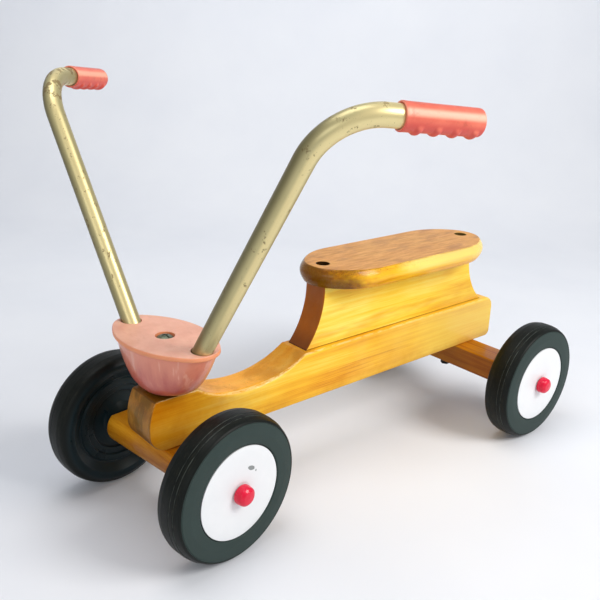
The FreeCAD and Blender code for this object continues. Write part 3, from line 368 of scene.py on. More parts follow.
def tyre_paint():
    """Satin black; Z is outwards and the wheel's axis is at the origin."""
    p = Paint("tyre_rubber", Specular_IOR_Level=0.18)
    radius = p.math("SQRT", p.add(p.mul(p.x, p.x), p.mul(p.y, p.y)))
    angle = p.math("ARCTAN2", p.y, p.x)
    dust = p.noise(p.stretch((0.05, 0.05, 0.05)), 1.0, 5, 0.65)
    tread = p.mul(p.step(radius, 71.5, 74.5), p.step(p.z, 15, 12))
    # scuffs and fine mould lines run round the tread
    along = p.join(p.mul(angle, 9.0), p.mul(p.z, 1.6), p.mul(radius, 0.3))
    scuff = p.noise(along, 1.0, 5, 0.75)
    colour = p.mix(dust, (3, 6, 4), (13, 19, 15))
    colour = p.mix(p.mul(p.mul(tread, p.step(scuff, 0.52, 0.72)), 0.55), colour, (64, 60, 46))
    line = p.most(p.band(p.z, 4.9, 0.10, 0.22), p.band(p.z, 9.6, 0.10, 0.22))
    line = p.mul(p.mul(line, tread), p.step(scuff, 0.40, 0.56))
    colour = p.mix(p.mul(line, 0.45), colour, (112, 120, 112))
    side = p.mul(p.step(p.z, 14.5, 16.5), p.step(radius, 71.2, 70.2))
    colour = p.mix(p.mul(side, 0.92), colour, p.mix(dust, (44, 57, 54), (57, 71, 68)))
    # inner dish tinted blue-teal: a painted reflection
    inner = p.mul(p.step(p.z, -4, -9), p.step(radius, 72, 66))
    colour = p.mix(p.mul(inner, 0.8), colour, p.mix(dust, (12, 26, 30), (22, 42, 48)))
    specks = speckle(p, 1.2, 0.06, 3)
    colour = p.mix(p.mul(specks, 0.5), colour, (120, 118, 104))
    # moulding vent in the tread, painted as a dark spot: painted shade of a hole that the mesh
    # does not have
    vent = p.vector("LENGTH", p.vector("SUBTRACT", p.where, (-74.0, 9.0, 8.2)))
    hole = p.step(vent, 2.6, 1.6)
    colour = p.mix(hole, colour, (4, 5, 5))
    roughness = p.add(p.mul(dust, 0.20), 0.36)
    roughness = p.add(roughness, p.add(p.mul(side, 0.10), p.mul(inner, -0.16)))
    fine = p.noise(p.stretch((0.9, 0.9, 0.9)), 1.0, 3, 0.6)
    normal = p.bump(fine, 0.04, 0.5)
    normal = p.bump(p.mul(scuff, tread), 0.12, 0.6, normal)
    return p.finish(colour, roughness, normal)


def disc_paint(name, chips):
    """White plate; chips are (x, y, half length, half width, turn) of worn spots."""
    p = Paint(name, Coat_Weight=0.25, Coat_Roughness=0.2)
    cloud = p.noise(p.stretch((0.03, 0.03, 0.03)), 1.0, 4, 0.6)
    colour = p.mix(cloud, (224, 226, 228), (236, 237, 238))
    colour = p.mix(p.mul(speckle(p, 1.2, 0.03, 6), 0.5), colour, (150, 150, 150))
    for x, y, length, width, turn in chips:
        cos, sin = math.cos(math.radians(turn)), math.sin(math.radians(turn))
        along = p.add(p.mul(p.add(p.x, -x), cos), p.mul(p.add(p.y, -y), sin))
        across = p.add(p.mul(p.add(p.x, -x), -sin), p.mul(p.add(p.y, -y), cos))
        far = p.math("SQRT", p.add(
            p.mul(p.mul(along, along), 1 / length ** 2),
            p.mul(p.mul(across, across), 1 / width ** 2),
        ))
        ragged = p.add(far, p.mul(p.noise(p.stretch((0.6, 0.6, 0.6)), 1.0, 3, 0.7), 0.9))
        colour = p.mix(p.mul(p.step(ragged, 1.5, 1.35), 0.9), colour, (112, 118, 116))
    normal = p.bump(cloud, 0.06, 0.4)
    return p.finish(colour, p.add(p.mul(cloud, 0.15), 0.28), normal)


def plastic(name, stops, rough, bump=0.06, fade=None, **shader):
    """Moulded plastic with soft blotches, fine scratches and a faint orange-peel surface."""
    p = Paint(name, **shader)
    cloud = p.noise(p.stretch((0.05,) * 3), 1.0, 4, 0.6)
    colour = p.ramp(cloud, stops)
    # this step adds stains and dirt, and on some parts painted light and shade
    if fade:
        colour = fade(p, colour)
    scratch = p.step(p.noise(p.stretch((0.05, 1.9, 0.9)), 1.0, 3, 0.7), 0.62, 0.72)
    peel = p.noise(p.stretch((0.5,) * 3), 1.0, 2)
    normal = p.bump(peel, bump, 0.5)
    normal = p.bump(p.add(1.0, p.mul(scratch, -1.0)), 0.03, 0.35, normal)
    roughness = p.add(p.add(p.mul(cloud, 0.16), rough), p.mul(scratch, 0.12))
    return p.finish(colour, roughness, normal)


def bowl_tones_and_reflections(p, colour):
    """Rose at the foot, lighter towards the rim, with pale streaks down the sides that are flow
    marks and painted reflections.
    """
    streak = p.noise(p.stretch((0.10, 0.10, 0.008), (4, 4, 4)), 1.0, 3, 0.6)
    height = p.step(p.add(p.z, p.mul(p.add(streak, -0.5), 50)), 152, 198)
    sides = p.mix(height, (184, 74, 62), (228, 144, 112))
    colour = p.mix(0.75, colour, sides)
    # pale streaks: flow marks and painted reflections
    pale = p.mul(p.step(streak, 0.58, 0.66), p.step(p.z, 158, 186))
    return p.mix(p.mul(pale, 0.40), colour, (240, 186, 164))


def grip_light_and_dirt(p, colour):
    """A painted highlight band above the middle, painted shade as a redder underside and a darker
    top, and dirt.
    """
    facing = p.split(p.normal)
    upper = p.band(facing[2], 0.38, 0.10, 0.28)
    under = p.step(facing[2], -0.05, -0.50)
    dirt = p.noise(p.stretch((0.12, 0.12, 0.12), (2, 7, 1)), 1.0, 4, 0.7)
    # painted highlight on the band above the middle, then painted shade on the underside and along
    # the top; the last mix is dirt
    colour = p.mix(p.mul(upper, 0.70), colour, (252, 188, 156))
    colour = p.mix(p.mul(under, 0.60), colour, (214, 58, 52))
    colour = p.mix(p.mul(p.step(facing[2], 0.74, 0.96), 0.55), colour, (188, 84, 70))
    return p.mix(p.mul(p.step(dirt, 0.54, 0.70), 0.35), colour, (188, 84, 62))


def lid_dirt_and_shade(p, colour):
    """Dirt on top and painted shade in orange round the rim."""
    facing = p.split(p.normal)
    rim = p.step(facing[2], 0.85, 0.2)
    dirt = p.noise(p.stretch((0.05, 0.09, 0.05), (7, 1, 1)), 1.0, 5, 0.7)
    colour = p.mix(p.mul(p.step(dirt, 0.54, 0.72), 0.35), colour, (204, 132, 112))
    # painted shade: orange round the sides of the rim
    return p.mix(p.mul(rim, 0.80), colour, (234, 144, 92))


def tube_paint():
    """Champagne metallic paint with painted shade and highlight across the tube, rusted most at
    the far bar's bend, with spots elsewhere.
    """
    p = Paint("bar_metal", Coat_Weight=0.2, Coat_Roughness=0.25)
    cloud = p.noise(p.stretch((0.02, 0.02, 0.008)), 1.0, 4, 0.6)
    colour = p.mix(cloud, (176, 164, 112), (208, 196, 146))
    # painted shade on the side that faces forwards and right, a painted highlight band beside it,
    # and lighter painted shade on the side that faces back and left
    facing = p.split(p.normal)
    front = p.add(p.mul(facing[0], -0.67), p.mul(facing[1], -0.74))
    colour = p.mix(p.mul(p.step(front, 0.15, 0.85), 0.72), colour, (82, 74, 34))
    colour = p.mix(p.mul(p.band(front, -0.30, 0.14, 0.34), 0.60), colour, (246, 226, 164))
    colour = p.mix(p.mul(p.step(front, -0.62, -0.95), 0.45), colour, (132, 116, 66))
    bend = p.mul(p.step(p.z, 396, 424), p.add(0.30, p.mul(p.step(p.x, 0, -60), 0.70)))
    rust_field = p.noise(p.stretch((0.10, 0.10, 0.07), (4, 2, 0)), 1.0, 5, 0.72)
    rust = p.step(p.add(rust_field, p.mul(bend, 0.085)), 0.60, 0.66)
    colour = p.mix(p.mul(rust, 0.80), colour, p.mix(cloud, (88, 68, 28), (132, 108, 58)))
    dots = speckle(p, 1.3, 0.26, 12)
    colour = p.mix(p.mul(dots, 0.7), colour, (74, 54, 26))
    spoiled = p.most(rust, dots)
    metallic = p.add(0.60, p.mul(spoiled, -0.52))
    roughness = p.add(p.add(p.mul(cloud, 0.15), 0.30), p.mul(spoiled, 0.35))
    normal = p.bump(p.mul(rust, rust_field), 0.12, 0.6)
    return p.finish(colour, roughness, normal, metallic)


def metal(name, base, worn, rough, spots, metallic=1.0):
    """Cloudy metal with dark spots; spots is from 0 to 1."""
    p = Paint(name)
    cloud = p.noise(p.stretch((0.3,) * 3), 1.0, 5, 0.65)
    colour = p.mix(cloud, base, worn)
    dots = speckle(p, 1.0, spots, 5)
    colour = p.mix(p.mul(dots, 0.8), colour, (44, 36, 26))
    roughness = p.add(p.add(p.mul(cloud, 0.25), rough), p.mul(dots, 0.3))
    return p.finish(colour, roughness, p.bump(cloud, 0.06, 0.5),
                    p.add(metallic, p.mul(dots, -0.6)))


AMBER = [(0.0, (255, 218, 92)), (0.40, (250, 192, 44)), (0.75, (230, 154, 16)),
         (1.0, (192, 106, 4))]
LEMON = [(0.0, (255, 230, 112)), (0.40, (252, 208, 62)), (0.75, (242, 180, 38)),
         (1.0, (216, 138, 20))]
HONEY = [(0.0, (220, 154, 36)), (0.40, (196, 124, 14)), (0.75, (162, 88, 4)),
         (1.0, (116, 56, 2))]
ALONG_X = (1, 0, 2)

PAINTS = {
    "beam_wood": wood("beam_wood", AMBER, (60, 20), 1.0, beam_stain_and_light),
    "riser_wood": wood("riser_wood", LEMON, (-80, 300), 12.0, riser_stain),
    "seat_wood": wood("seat_wood", AMBER, (22, 90), 23.0, seat_stain_and_sheen, rough=0.20),
    "block_wood": wood("block_wood", HONEY, (8, 10), 31.0, block_stain, grain=ALONG_X),
    "tyre_rubber": tyre_paint(),
    "disc_plastic": disc_paint("disc_plastic", []),
    "cap_plastic": plastic("cap_plastic", [(0.3, (214, 4, 48)), (0.7, (236, 10, 66))], 0.24,
                           Coat_Weight=0.35, Specular_IOR_Level=0.3),
    "lid_plastic": plastic("lid_plastic", [(0.3, (222, 158, 132)), (0.7, (236, 178, 152))],
                           0.36, fade=lid_dirt_and_shade, Subsurface_Weight=0.12,
                           Subsurface_Scale=0.004),
    "hub_plastic": plastic("hub_plastic", [(0.3, (206, 104, 98)), (0.7, (224, 132, 118))], 0.24,
                           fade=bowl_tones_and_reflections, Coat_Weight=0.4, Subsurface_Weight=0.10,
                           Subsurface_Scale=0.004),
    "grip_plastic": plastic("grip_plastic", [(0.3, (222, 98, 78)), (0.7, (238, 122, 96))],
                            0.36, bump=0.12, fade=grip_light_and_dirt, Subsurface_Weight=0.08,
                            Subsurface_Scale=0.003),
    "bush_plastic": plastic("bush_plastic", [(0.3, (60, 62, 60)), (0.7, (84, 86, 82))], 0.5),
    "washer_plastic": plastic("washer_plastic", [(0.3, (28, 24, 22)), (0.7, (46, 40, 36))],
                              0.5),
    "bar_metal": tube_paint(),
    "hub_screw_steel": metal("hub_screw_steel", (140, 148, 126), (98, 106, 88), 0.32, 0.5),
    "seat_screw_steel": metal("seat_screw_steel", (60, 48, 36), (30, 24, 20), 0.4, 0.5),
    "bolt_steel": metal("bolt_steel", (20, 20, 20), (34, 32, 30), 0.35, 0.2, 0.7),
    "axle_steel": metal("axle_steel", (150, 148, 140), (120, 116, 108), 0.3, 0.3),
    "column_steel": metal("column_steel", (150, 150, 146), (120, 120, 116), 0.3, 0.2),
}
CHIPPED = disc_paint("disc_plastic_chipped",
                     [(-22.5, 13, 5.0, 2.3, 62), (-17.5, 19, 1.4, 0.8, 0)])


# ---- mesh helpers

def make_piece(name, vertices, faces, slot, body, stands_for, placement=Matrix(),
               paint=None, sharp=40):
    """Smooth mesh from points in millimetres; edges over sharp degrees stay sharp."""
    mesh = bpy.data.meshes.new(name)
    mesh.from_pydata([Vector(v) * MM for v in vertices], [], faces)
    work = bmesh.new()
    work.from_mesh(mesh)
    bmesh.ops.remove_doubles(work, verts=work.verts, dist=1e-7)
    bmesh.ops.recalc_face_normals(work, faces=work.faces)
    work.to_mesh(mesh)
    work.free()
    piece = bpy.data.objects.new(name, mesh)
    bpy.context.scene.collection.objects.link(piece)
    mesh.materials.append(paint or PAINTS[slot])
    for polygon in mesh.polygons:
        polygon.use_smooth = True
    mesh.set_sharp_from_angle(angle=math.radians(sharp))
    piece.matrix_world = placement
    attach(piece, body)
    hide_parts(stands_for)
    return piece


def make_baked(name, vertices, faces, slot, turn, stands_for, sharp):
    """A piece of the steering whose turn is in its points, so that its box is its true box."""
    moved = [turn @ Vector(point) for point in vertices]
    return make_piece(name, moved, faces, slot, "steering", stands_for, sharp=sharp)


def flat_shade(piece):
    """Keeps large faces flat beside their rounded edges."""
    piece.modifiers.new("shade", "WEIGHTED_NORMAL").keep_sharp = True


def rounded(corners, closed=False, steps=6):
    """Polyline through (a, b, radius) corners with each corner turned into an arc."""
    points = []
    count = len(corners)
    for index, corner in enumerate(corners):
        here = Vector(corner[:2])
        radius = corner[2] if len(corner) > 2 else 0
        if radius == 0 or (not closed and index in (0, count - 1)):
            points.append(tuple(here))
            continue
        before = Vector(corners[index - 1][:2]) - here
        after = Vector(corners[(index + 1) % count][:2]) - here
        half = before.angle(after) / 2
        reach = min(radius / math.tan(half), 0.49 * before.length, 0.49 * after.length)
        true = reach * math.tan(half)
        start, end = here + before.normalized() * reach, here + after.normalized() * reach
        centre = here + (before.normalized() + after.normalized()).normalized() * (
            true / math.sin(half))
        first, last = start - centre, end - centre
        sweep = first.angle_signed(last)
        for step in range(steps + 1):
            turn = Matrix.Rotation(-sweep * step / steps, 2)
            points.append(tuple(centre + turn @ first))
    return points


def lathe(profile, segments):
    """Vertices and faces of a profile of (radius, height) turned about Z."""
    vertices, faces = [], []
    for step in range(segments):
        angle = 2 * math.pi * step / segments
        for radius, height in profile:
            vertices.append((radius * math.cos(angle), radius * math.sin(angle), height))
    size = len(profile)
    for step in range(segments):
        following = (step + 1) % segments
        for index in range(size - 1):
            faces.append((
                step * size + index, following * size + index,
                following * size + index + 1, step * size + index + 1,
            ))
    return vertices, faces


def rings(loops, closed_loop=True, capped=False):
    """Skin over loops of equal size, with flat ends where it is capped."""
    vertices = [point for loop in loops for point in loop]
    size = len(loops[0])
    faces = []
    last = size if closed_loop else size - 1
    for row in range(len(loops) - 1):
        for index in range(last):
            following = (index + 1) % size
            faces.append((
                row * size + index, row * size + following,
                (row + 1) * size + following, (row + 1) * size + index,
            ))
    if capped:
        faces.append(tuple(range(size)))
        start = (len(loops) - 1) * size
        faces.append(tuple(start + index for index in range(size)))
    return vertices, faces


def outward(side):
    """Rotation whose Z axis points along +X for side 1 and along -X for side -1."""
    return Matrix.Rotation(math.radians(90) * side, 4, "Y")


# ---- wheels

def front_wheel(side):
    return STEERED @ Vector((AXLE_SHIFT + side * FRONT_TRACK, AXLE_TRAIL, AXLE_HEIGHT))


def rear_wheel(side):
    return Vector((side * REAR_TRACK, REAR_AXLE, AXLE_HEIGHT))


TYRE = rounded([
    # back: hub cone, steps, dish, sidewall
    (7.0, -14.0), (12.5, -14.2, 1.5), (21.0, -9.6, 4), (33.4, -6.8, 2), (34.3, -9.8, 0.8),
    (40.9, -9.8, 0.8), (41.9, -12.4, 0.8), (49.0, -12.4, 0.8), (50.2, -10.6, 0.8),
    (52.0, -11.0, 1.2), (61.0, -17.6, 2.5), (67.0, -18.4, 6.0), (74.4, -13.4, 7),
    (76.2, -6.0, 6), (76.2, 0.0, 4),
    # tread with two fine grooves, outer shoulder
    (76.15, 4.5, 0.2), (75.65, 4.8, 0.1), (75.65, 5.1, 0.1), (75.95, 5.4, 0.2),
    (75.5, 9.2, 0.2), (74.85, 9.5, 0.1), (74.8, 9.9, 0.1), (75.0, 10.3, 0.3),
    (73.0, 15.6, 4.0), (71.0, 16.9, 0.6), (70.5, 16.5, 0.15), (70.1, 16.5, 0.15),
    (69.6, 17.3, 0.3), (60.0, 18.2, 8), (50.6, 18.2, 0.6), (49.6, 17.2, 0.3), (49.4, 15.6),
    (44.0, 15.6), (7.0, 15.6),
], steps=5)
DISC = rounded([
    (5.4, 16.0), (48.3, 16.0, 0.3), (48.6, 17.7, 0.5), (40.0, 18.1, 10), (12.0, 18.3, 2),
    (10.8, 18.0, 0.5), (5.4, 18.0),
], steps=5)
CAP = rounded([
    (0.001, 20.4), (3.9, 20.4), (4.05, 19.1), (9.9, 19.05, 0.5), (10.35, 20.0, 0.6),
    (10.2, 23.6, 1.2), (9.5, 27.4, 2.6), (6.4, 29.8, 2.6), (0.001, 30.4),
], steps=6)


def make_wheels():
    for end, middle in (("front", front_wheel), ("rear", rear_wheel)):
        steered = end == "front"
        for side, side_name in ((1, "left"), (-1, "right")):
            name = end + "_" + side_name
            turn = STEERED if steered else Matrix()
            place = Matrix.Translation(middle(side) * MM) @ turn @ outward(side)
            wheel = name + "_wheel"
            make_piece(name + "_tyre_shell", *lathe(TYRE, 160), "tyre_rubber", wheel,
                       name + "_tyre", place, sharp=50)
            paint = CHIPPED if name == "front_left" else None
            make_piece(name + "_face_plate", *lathe(DISC, 128), "disc_plastic", wheel,
                       name + "_disc", place, paint)
            make_piece(name + "_hub_cap", *lathe(CAP, 64), "cap_plastic",
                       "steering" if steered else "frame", name + "_cap", place, sharp=60)


# ---- handlebar

def bar_line(side):
    """Centre line of one tube in the hub's own frame, with its corner and directions."""
    rising = Vector((side * math.sin(TUBE_LEAN), 0, math.cos(TUBE_LEAN)))
    grip = Vector((side * math.cos(GRIP_DROOP) * math.sin(GRIP_SPLAY),
                   math.cos(GRIP_DROOP) * math.cos(GRIP_SPLAY), -math.sin(GRIP_DROOP)))
    top = Vector((side * TUBE_SPACING, 0, LID_TOP))
    foot = top + rising * ((TUBE_FOOT - LID_TOP) / rising.z)
    corner = top + rising * ((BEND_HEIGHT - LID_TOP) / rising.z)
    turn = rising.angle(grip)
    reach = BEND_RADIUS * math.tan(turn / 2)
    start, end = corner - rising * reach, corner + grip * reach
    inside = (grip - rising).normalized()
    centre = corner + inside * (BEND_RADIUS / math.cos(turn / 2))
    line = [foot + (start - foot) * (k / 40) for k in range(40)]
    axis = (start - centre).cross(end - centre).normalized()
    for k in range(33):
        line.append(centre + Matrix.Rotation(turn * k / 32, 3, axis) @ (start - centre))
    tip = corner + grip * (TUBE_END - 0.5)
    line += [end + (tip - end) * (k / 12) for k in range(1, 13)]
    return line, corner, grip, axis


def sweep(line, radius, axis):
    """Loops of 32 points round a line that lies in the plane across axis."""
    loops = []
    for index, point in enumerate(line):
        ahead = line[min(index + 1, len(line) - 1)] - line[max(index - 1, 0)]
        ahead.normalize()
        across = axis.cross(ahead).normalized()
        loops.append([
            point + (axis * math.cos(a) + across * math.sin(a)) * radius
            for a in (2 * math.pi * k / 32 for k in range(32))
        ])
    return loops


GRIP_PROFILE = rounded([
    (9.7, 1.5), (9.9, 0.0, 0.4), (11.7, 0.0, 0.6), (11.75, 2.0, 0.8), (11.6, 4.0, 1.0),
    (11.4, 30), (11.3, 67.0, 0), (11.1, 69.6, 1.8), (9.2, 71.0, 1.4), (0.001, 71.2),
], steps=5)


def ridge_swell(along, below):
    """Height of the finger ridges; below is 1 at the underside and -1 on top."""
    nearest = min(max(round((along - RIDGE_FIRST) / RIDGE_PITCH), 0), RIDGE_COUNT - 1)
    distance = abs(along - RIDGE_FIRST - nearest * RIDGE_PITCH)
    if distance > RIDGE_HALF or below < RIDGE_REACH:
        return 0.0
    rise = math.cos(math.pi / 2 * distance / RIDGE_HALF) ** 0.8
    fade = min(1.0, (below - RIDGE_REACH) / 0.3)
    return RIDGE_HEIGHT * rise * fade * fade * (3 - 2 * fade)


def make_handlebar(name, side):
    line, corner, grip, axis = bar_line(side)
    loops = sweep(line, TUBE_RADIUS, axis)
    make_baked("bar_" + name, *rings(loops, capped=True), "bar_metal", HUB,
               "handlebar_tube_" + name, sharp=60)
    down = Vector((0, 0, -1))
    down = (down - grip * grip.dot(down)).normalized()
    across = grip.cross(down)
    start = corner + grip * GRIP_START
    dense = []
    for (r0, z0), (r1, z1) in zip(GRIP_PROFILE, GRIP_PROFILE[1:]):
        count = max(1, int(abs(z1 - z0) / 0.8))
        dense += [(r0 + (r1 - r0) * k / count, z0 + (z1 - z0) * k / count)
                  for k in range(count)]
    dense.append(GRIP_PROFILE[-1])
    loops = []
    for radius, along in dense:
        loop = []
        for k in range(64):
            angle = 2 * math.pi * k / 64
            size = radius
            if radius > 9 and along > 2:
                size += ridge_swell(along, math.cos(angle))
            loop.append(start + grip * along + down * (size * math.cos(angle))
                        + across * (size * math.sin(angle)))
        loops.append(loop)
    make_baked("grip_sleeve_" + name, *rings(loops), "grip_plastic", HUB, "grip_" + name,
               sharp=70)


# ---- outlines

def arc_points(centre, radius, start, end, steps):
    return [
        (centre[0] + radius * math.cos(start + (end - start) * k / steps),
         centre[1] + radius * math.sin(start + (end - start) * k / steps))
        for k in range(steps + 1)
    ]


def oval(half_length, half_width, tip_radius, straight=0.0, inset=0.0):
    """Closed oval, long along its second axis: straight sides, flank arcs and tip arcs."""
    a, b, r = half_length - inset, half_width - inset, tip_radius - inset
    flank = (b * b + a * a - 2 * a * r) / (2 * (b - r))
    tip = straight + a - r
    turn = math.atan2(tip - straight, flank - b)
    quarter = [(b, straight * k / 6) for k in range(6)] if straight else []
    quarter += arc_points((b - flank, straight), flank, 0, turn, 14)[:-1]
    quarter += arc_points((0, tip), r, turn, math.pi / 2, 12)
    half = quarter + [(-x, y) for x, y in quarter[-2::-1]]
    return half + [(-x, -y) for x, y in half[1:-1]]


class Shell:
    """Collects loops of points and the faces between them."""

    def __init__(self):
        self.vertices, self.faces = [], []

    def loop(self, points):
        start = len(self.vertices)
        self.vertices += points
        return list(range(start, len(self.vertices)))

    def bridge(self, a, b):
        size = len(a)
        for k in range(size):
            following = (k + 1) % size
            self.faces.append((a[k], a[following], b[following], b[k]))

    def stack(self, loops):
        """Skin over point loops of equal size; returns the first and last loop."""
        placed = [self.loop(points) for points in loops]
        for a, b in zip(placed, placed[1:]):
            self.bridge(a, b)
        return placed[0], placed[-1]

    def cover(self, *loops, axes=(0, 1)):
        """Flat face inside the first loop, with the other loops as holes."""
        flat = [[Vector((self.vertices[i][axes[0]], self.vertices[i][axes[1]], 0)) for i in loop]
                for loop in loops]
        order = [index for loop in loops for index in loop]
        for triangle in tessellate_polygon(flat):
            self.faces.append(tuple(order[index] for index in triangle))


def ring_at(x, y, z, radius_x, radius_y):
    return [(x + radius_x * math.cos(a), y + radius_y * math.sin(a), z)
            for a in (2 * math.pi * k / 40 for k in range(40))]


def blind_hole(shell, y, top, radius, wider, depth):
    """Round hole on the middle line with a broken upper edge; returns its rim."""
    rim, floor = shell.stack([
        ring_at(0, y, height, size, size)
        for height, size in ((top, radius + wider), (top - 0.5, radius), (top - depth, radius))
    ])
    shell.cover(floor)
    return rim


# ---- wooden parts

def beam_outline():
    """Side view of the beam as (y, z) points, from the underside round the tail and forwards."""
    points = [(y, BEAM_BOTTOM) for y in (-10.6, *range(0, 510, 12))]
    tail, low = 15, 8
    points += arc_points((BEAM_REAR - low, BEAM_BOTTOM + low), low, -math.pi / 2, 0, 8)
    points += [(BEAM_REAR, z) for z in (110, 118, 127)]
    points += arc_points((BEAM_REAR - tail, DECK_TOP - tail), tail, 0, math.pi / 2, 12)
    points += [(y, DECK_TOP) for y in range(500, 175, -8)]
    points += dip_points()
    points += [(y, PAD_TOP) for y in range(16, -20, -6)]
    nose, corner, chin = 62, 3.5, 22
    front, height = -32.6, 119
    rise = math.asin((PAD_TOP - corner - height) / (nose - corner))
    middle = front + nose
    blend = (middle - (nose - corner) * math.cos(rise), PAD_TOP - corner)
    points += arc_points(blend, corner, math.pi / 2, math.pi - rise, 8)
    points += arc_points((middle, height), nose, math.pi - rise, math.pi, 12)[1:]
    points += arc_points((front + chin, BEAM_BOTTOM + chin), chin, math.pi, 1.5 * math.pi, 16)[:-1]
    return points


def dip_points():
    """The hand-hold dip from the deck forwards to the pad, as tangent arcs."""
    steep, low, back = (math.radians(v) for v in (36, 14, 32))
    shoulder, front, middle = 7, 70, 172
    y, z = 22.0, PAD_TOP
    path = []

    def run(radius, start, end, steps, hollow):
        nonlocal y, z
        origin_y, origin_z = y, z
        for k in range(1, steps + 1):
            slope = start + (end - start) * k / steps
            sign = 1 if hollow else -1
            y = origin_y + sign * radius * (math.sin(slope) - math.sin(start))
            z = origin_z + sign * radius * (math.cos(start) - math.cos(slope))
            path.append((y, z))

    path.append((y, z))
    run(shoulder, 0, -steep, 8, False)
    run(front, -steep, -low, 10, True)
    run(middle, -low, low, 24, True)
    rear = (DECK_TOP - shoulder * (1 - math.cos(back)) - z) / (math.cos(low) - math.cos(back))
    run(rear, low, back, 14, True)
    run(shoulder, back, 0, 8, False)
    return path[::-1]


def beam_edge(y, z):
    """Rounding of the beam's long edges: fine at the nose and underside, soft in the dip."""
    if z < 126:
        return 1.6
    if y < 20:
        return 1.5
    if y > 500:
        return 3.2
    bell = math.exp(-((y - 98) / 46) ** 2)
    soft = 4.2 if y > 170 else 3.0
    return soft + 4.0 * bell


def profile_solid(points, half_width, radius_at, steps=6):
    """Extrudes a closed (y, z) outline across X with its long edges rounded."""
    count = len(points)
    inward = []
    for index in range(count):
        before, here = Vector(points[index - 1]), Vector(points[index])
        after = Vector(points[(index + 1) % count])
        along = ((here - before).normalized() + (after - here).normalized()).normalized()
        inward.append(Vector((-along.y, along.x)))
    radii = [radius_at(*point) for point in points]
    for _ in range(6):
        radii = [(radii[i - 1] + 2 * radii[i] + radii[(i + 1) % count]) / 4
                 for i in range(count)]
    loops = []
    for side in (1, -1):
        order = range(steps + 1) if side == 1 else range(steps, -1, -1)
        for step in order:
            angle = math.pi / 2 * step / steps
            loop = []
            for point, normal, radius in zip(points, inward, radii):
                depth = radius * (1 - math.sin(angle))
                across = half_width - radius * (1 - math.cos(angle))
                loop.append((side * across, point[0] + normal.x * depth,
                             point[1] + normal.y * depth))
            loops.append(loop)
    shell = Shell()
    for end in shell.stack(loops):
        shell.cover(end, axes=(1, 2))
    return shell.vertices, shell.faces


def make_beam():
    flat_shade(make_piece(
        "beam_board", *profile_solid(beam_outline(), BEAM_HALF_WIDTH, beam_edge), "beam_wood",
        "frame", "main_beam", sharp=60,
    ))


def make_riser():
    """Upright board whose two ends flare out to the beam."""
    foot_front, top_front, flare_front = 173.5, 197.5, 217.0
    foot_rear, top_rear, flare_rear = 500.0, 464.0, 222.0
    points = [(y, DECK_TOP) for y in range(176, 500, 12)]
    run, rise = foot_rear - top_rear, flare_rear - DECK_TOP
    radius = (run * run + rise * rise) / (2 * run)
    points += arc_points((top_rear + radius, flare_rear), radius,
                         math.pi + math.asin(rise / radius), math.pi, 16)
    points += [(y, SEAT_BOTTOM) for y in range(463, 198, -12)]
    run, rise = top_front - foot_front, flare_front - DECK_TOP
    radius = (run * run + rise * rise) / (2 * run)
    points += [(top_front, SEAT_BOTTOM)]
    points += arc_points((top_front - radius, flare_front), radius,
                         0, -math.asin(rise / radius), 16)
    flat_shade(make_piece(
        "riser_board", *profile_solid(points, RISER_HALF_WIDTH, lambda y, z: RISER_EDGE),
        "riser_wood", "frame", "seat_riser", sharp=60,
    ))


SEAT_LEVELS = [
    # (inset, height): flat underside, bulging side, crisp upper edge
    (9.0, 222.8), (5.4, 222.85), (4.6, 223.4), (3.0, 226.0), (1.2, 229.4), (0.3, 232.4),
    (0.0, 235.2), (0.4, 237.8), (1.5, 240.4), (3.0, 242.8), (4.2, 244.4), (4.9, 245.1),
    (5.8, 245.4),
]


def make_seat():
    """Long oval board with two counterbored screw holes."""
    shell = Shell()
    loops = []
    for inset, height in SEAT_LEVELS:
        outline = oval(SEAT_END, SEAT_HALF_WIDTH, SEAT_TIP_RADIUS, SEAT_STRAIGHT, inset)
        loops.append([(x, y + SEAT_MIDDLE, height) for x, y in outline])
    bottom, top = shell.stack(loops)
    shell.cover(bottom)
    holes = []
    for place in SEAT_SCREWS:
        holes.append(blind_hole(shell, place, SEAT_TOP, COUNTERBORE_RADIUS, 0.5,
                                COUNTERBORE_DEPTH))
    shell.cover(top, *holes)
    flat_shade(make_piece("seat_plank", shell.vertices, shell.faces, "seat_wood", "frame",
                          "seat_board", sharp=50))


def make_blocks():
    """The two axle blocks under the beam, cut from square stock."""
    low, deep = 61.8, 20.0
    rear = rounded([
        (REAR_AXLE - deep, low, 2.0), (REAR_AXLE + deep, low, 2.0),
        (REAR_AXLE + deep, BEAM_BOTTOM, 1.2), (REAR_AXLE - deep, BEAM_BOTTOM, 2.0),
    ], closed=True)
    flat_shade(make_piece(
        "rear_block_wood", *profile_solid(rear, BLOCK_REACH["rear"], lambda y, z: BLOCK_EDGE),
        "block_wood", "frame", "rear_axle_block", sharp=60,
    ))
    bottom, top, nose = 61.0, 90.5, 6.5
    rise = (top - bottom) / 2
    radius = (rise * rise + nose * nose) / (2 * nose)
    half = math.asin(rise / radius)
    face = arc_points((radius - deep, bottom + rise), radius, math.pi + half, math.pi - half, 12)
    front = rounded([(deep, bottom, 2.0), *face, (deep, top, 2.0)], closed=True)
    middle = STEERED @ Matrix.Translation((AXLE_SHIFT, 0, 0))
    solid = profile_solid(front[::-1], BLOCK_REACH["front"], lambda y, z: BLOCK_EDGE)
    flat_shade(make_baked("front_block_wood", *solid, "block_wood", middle, "front_axle_block",
                          sharp=60))


# ---- steering hub

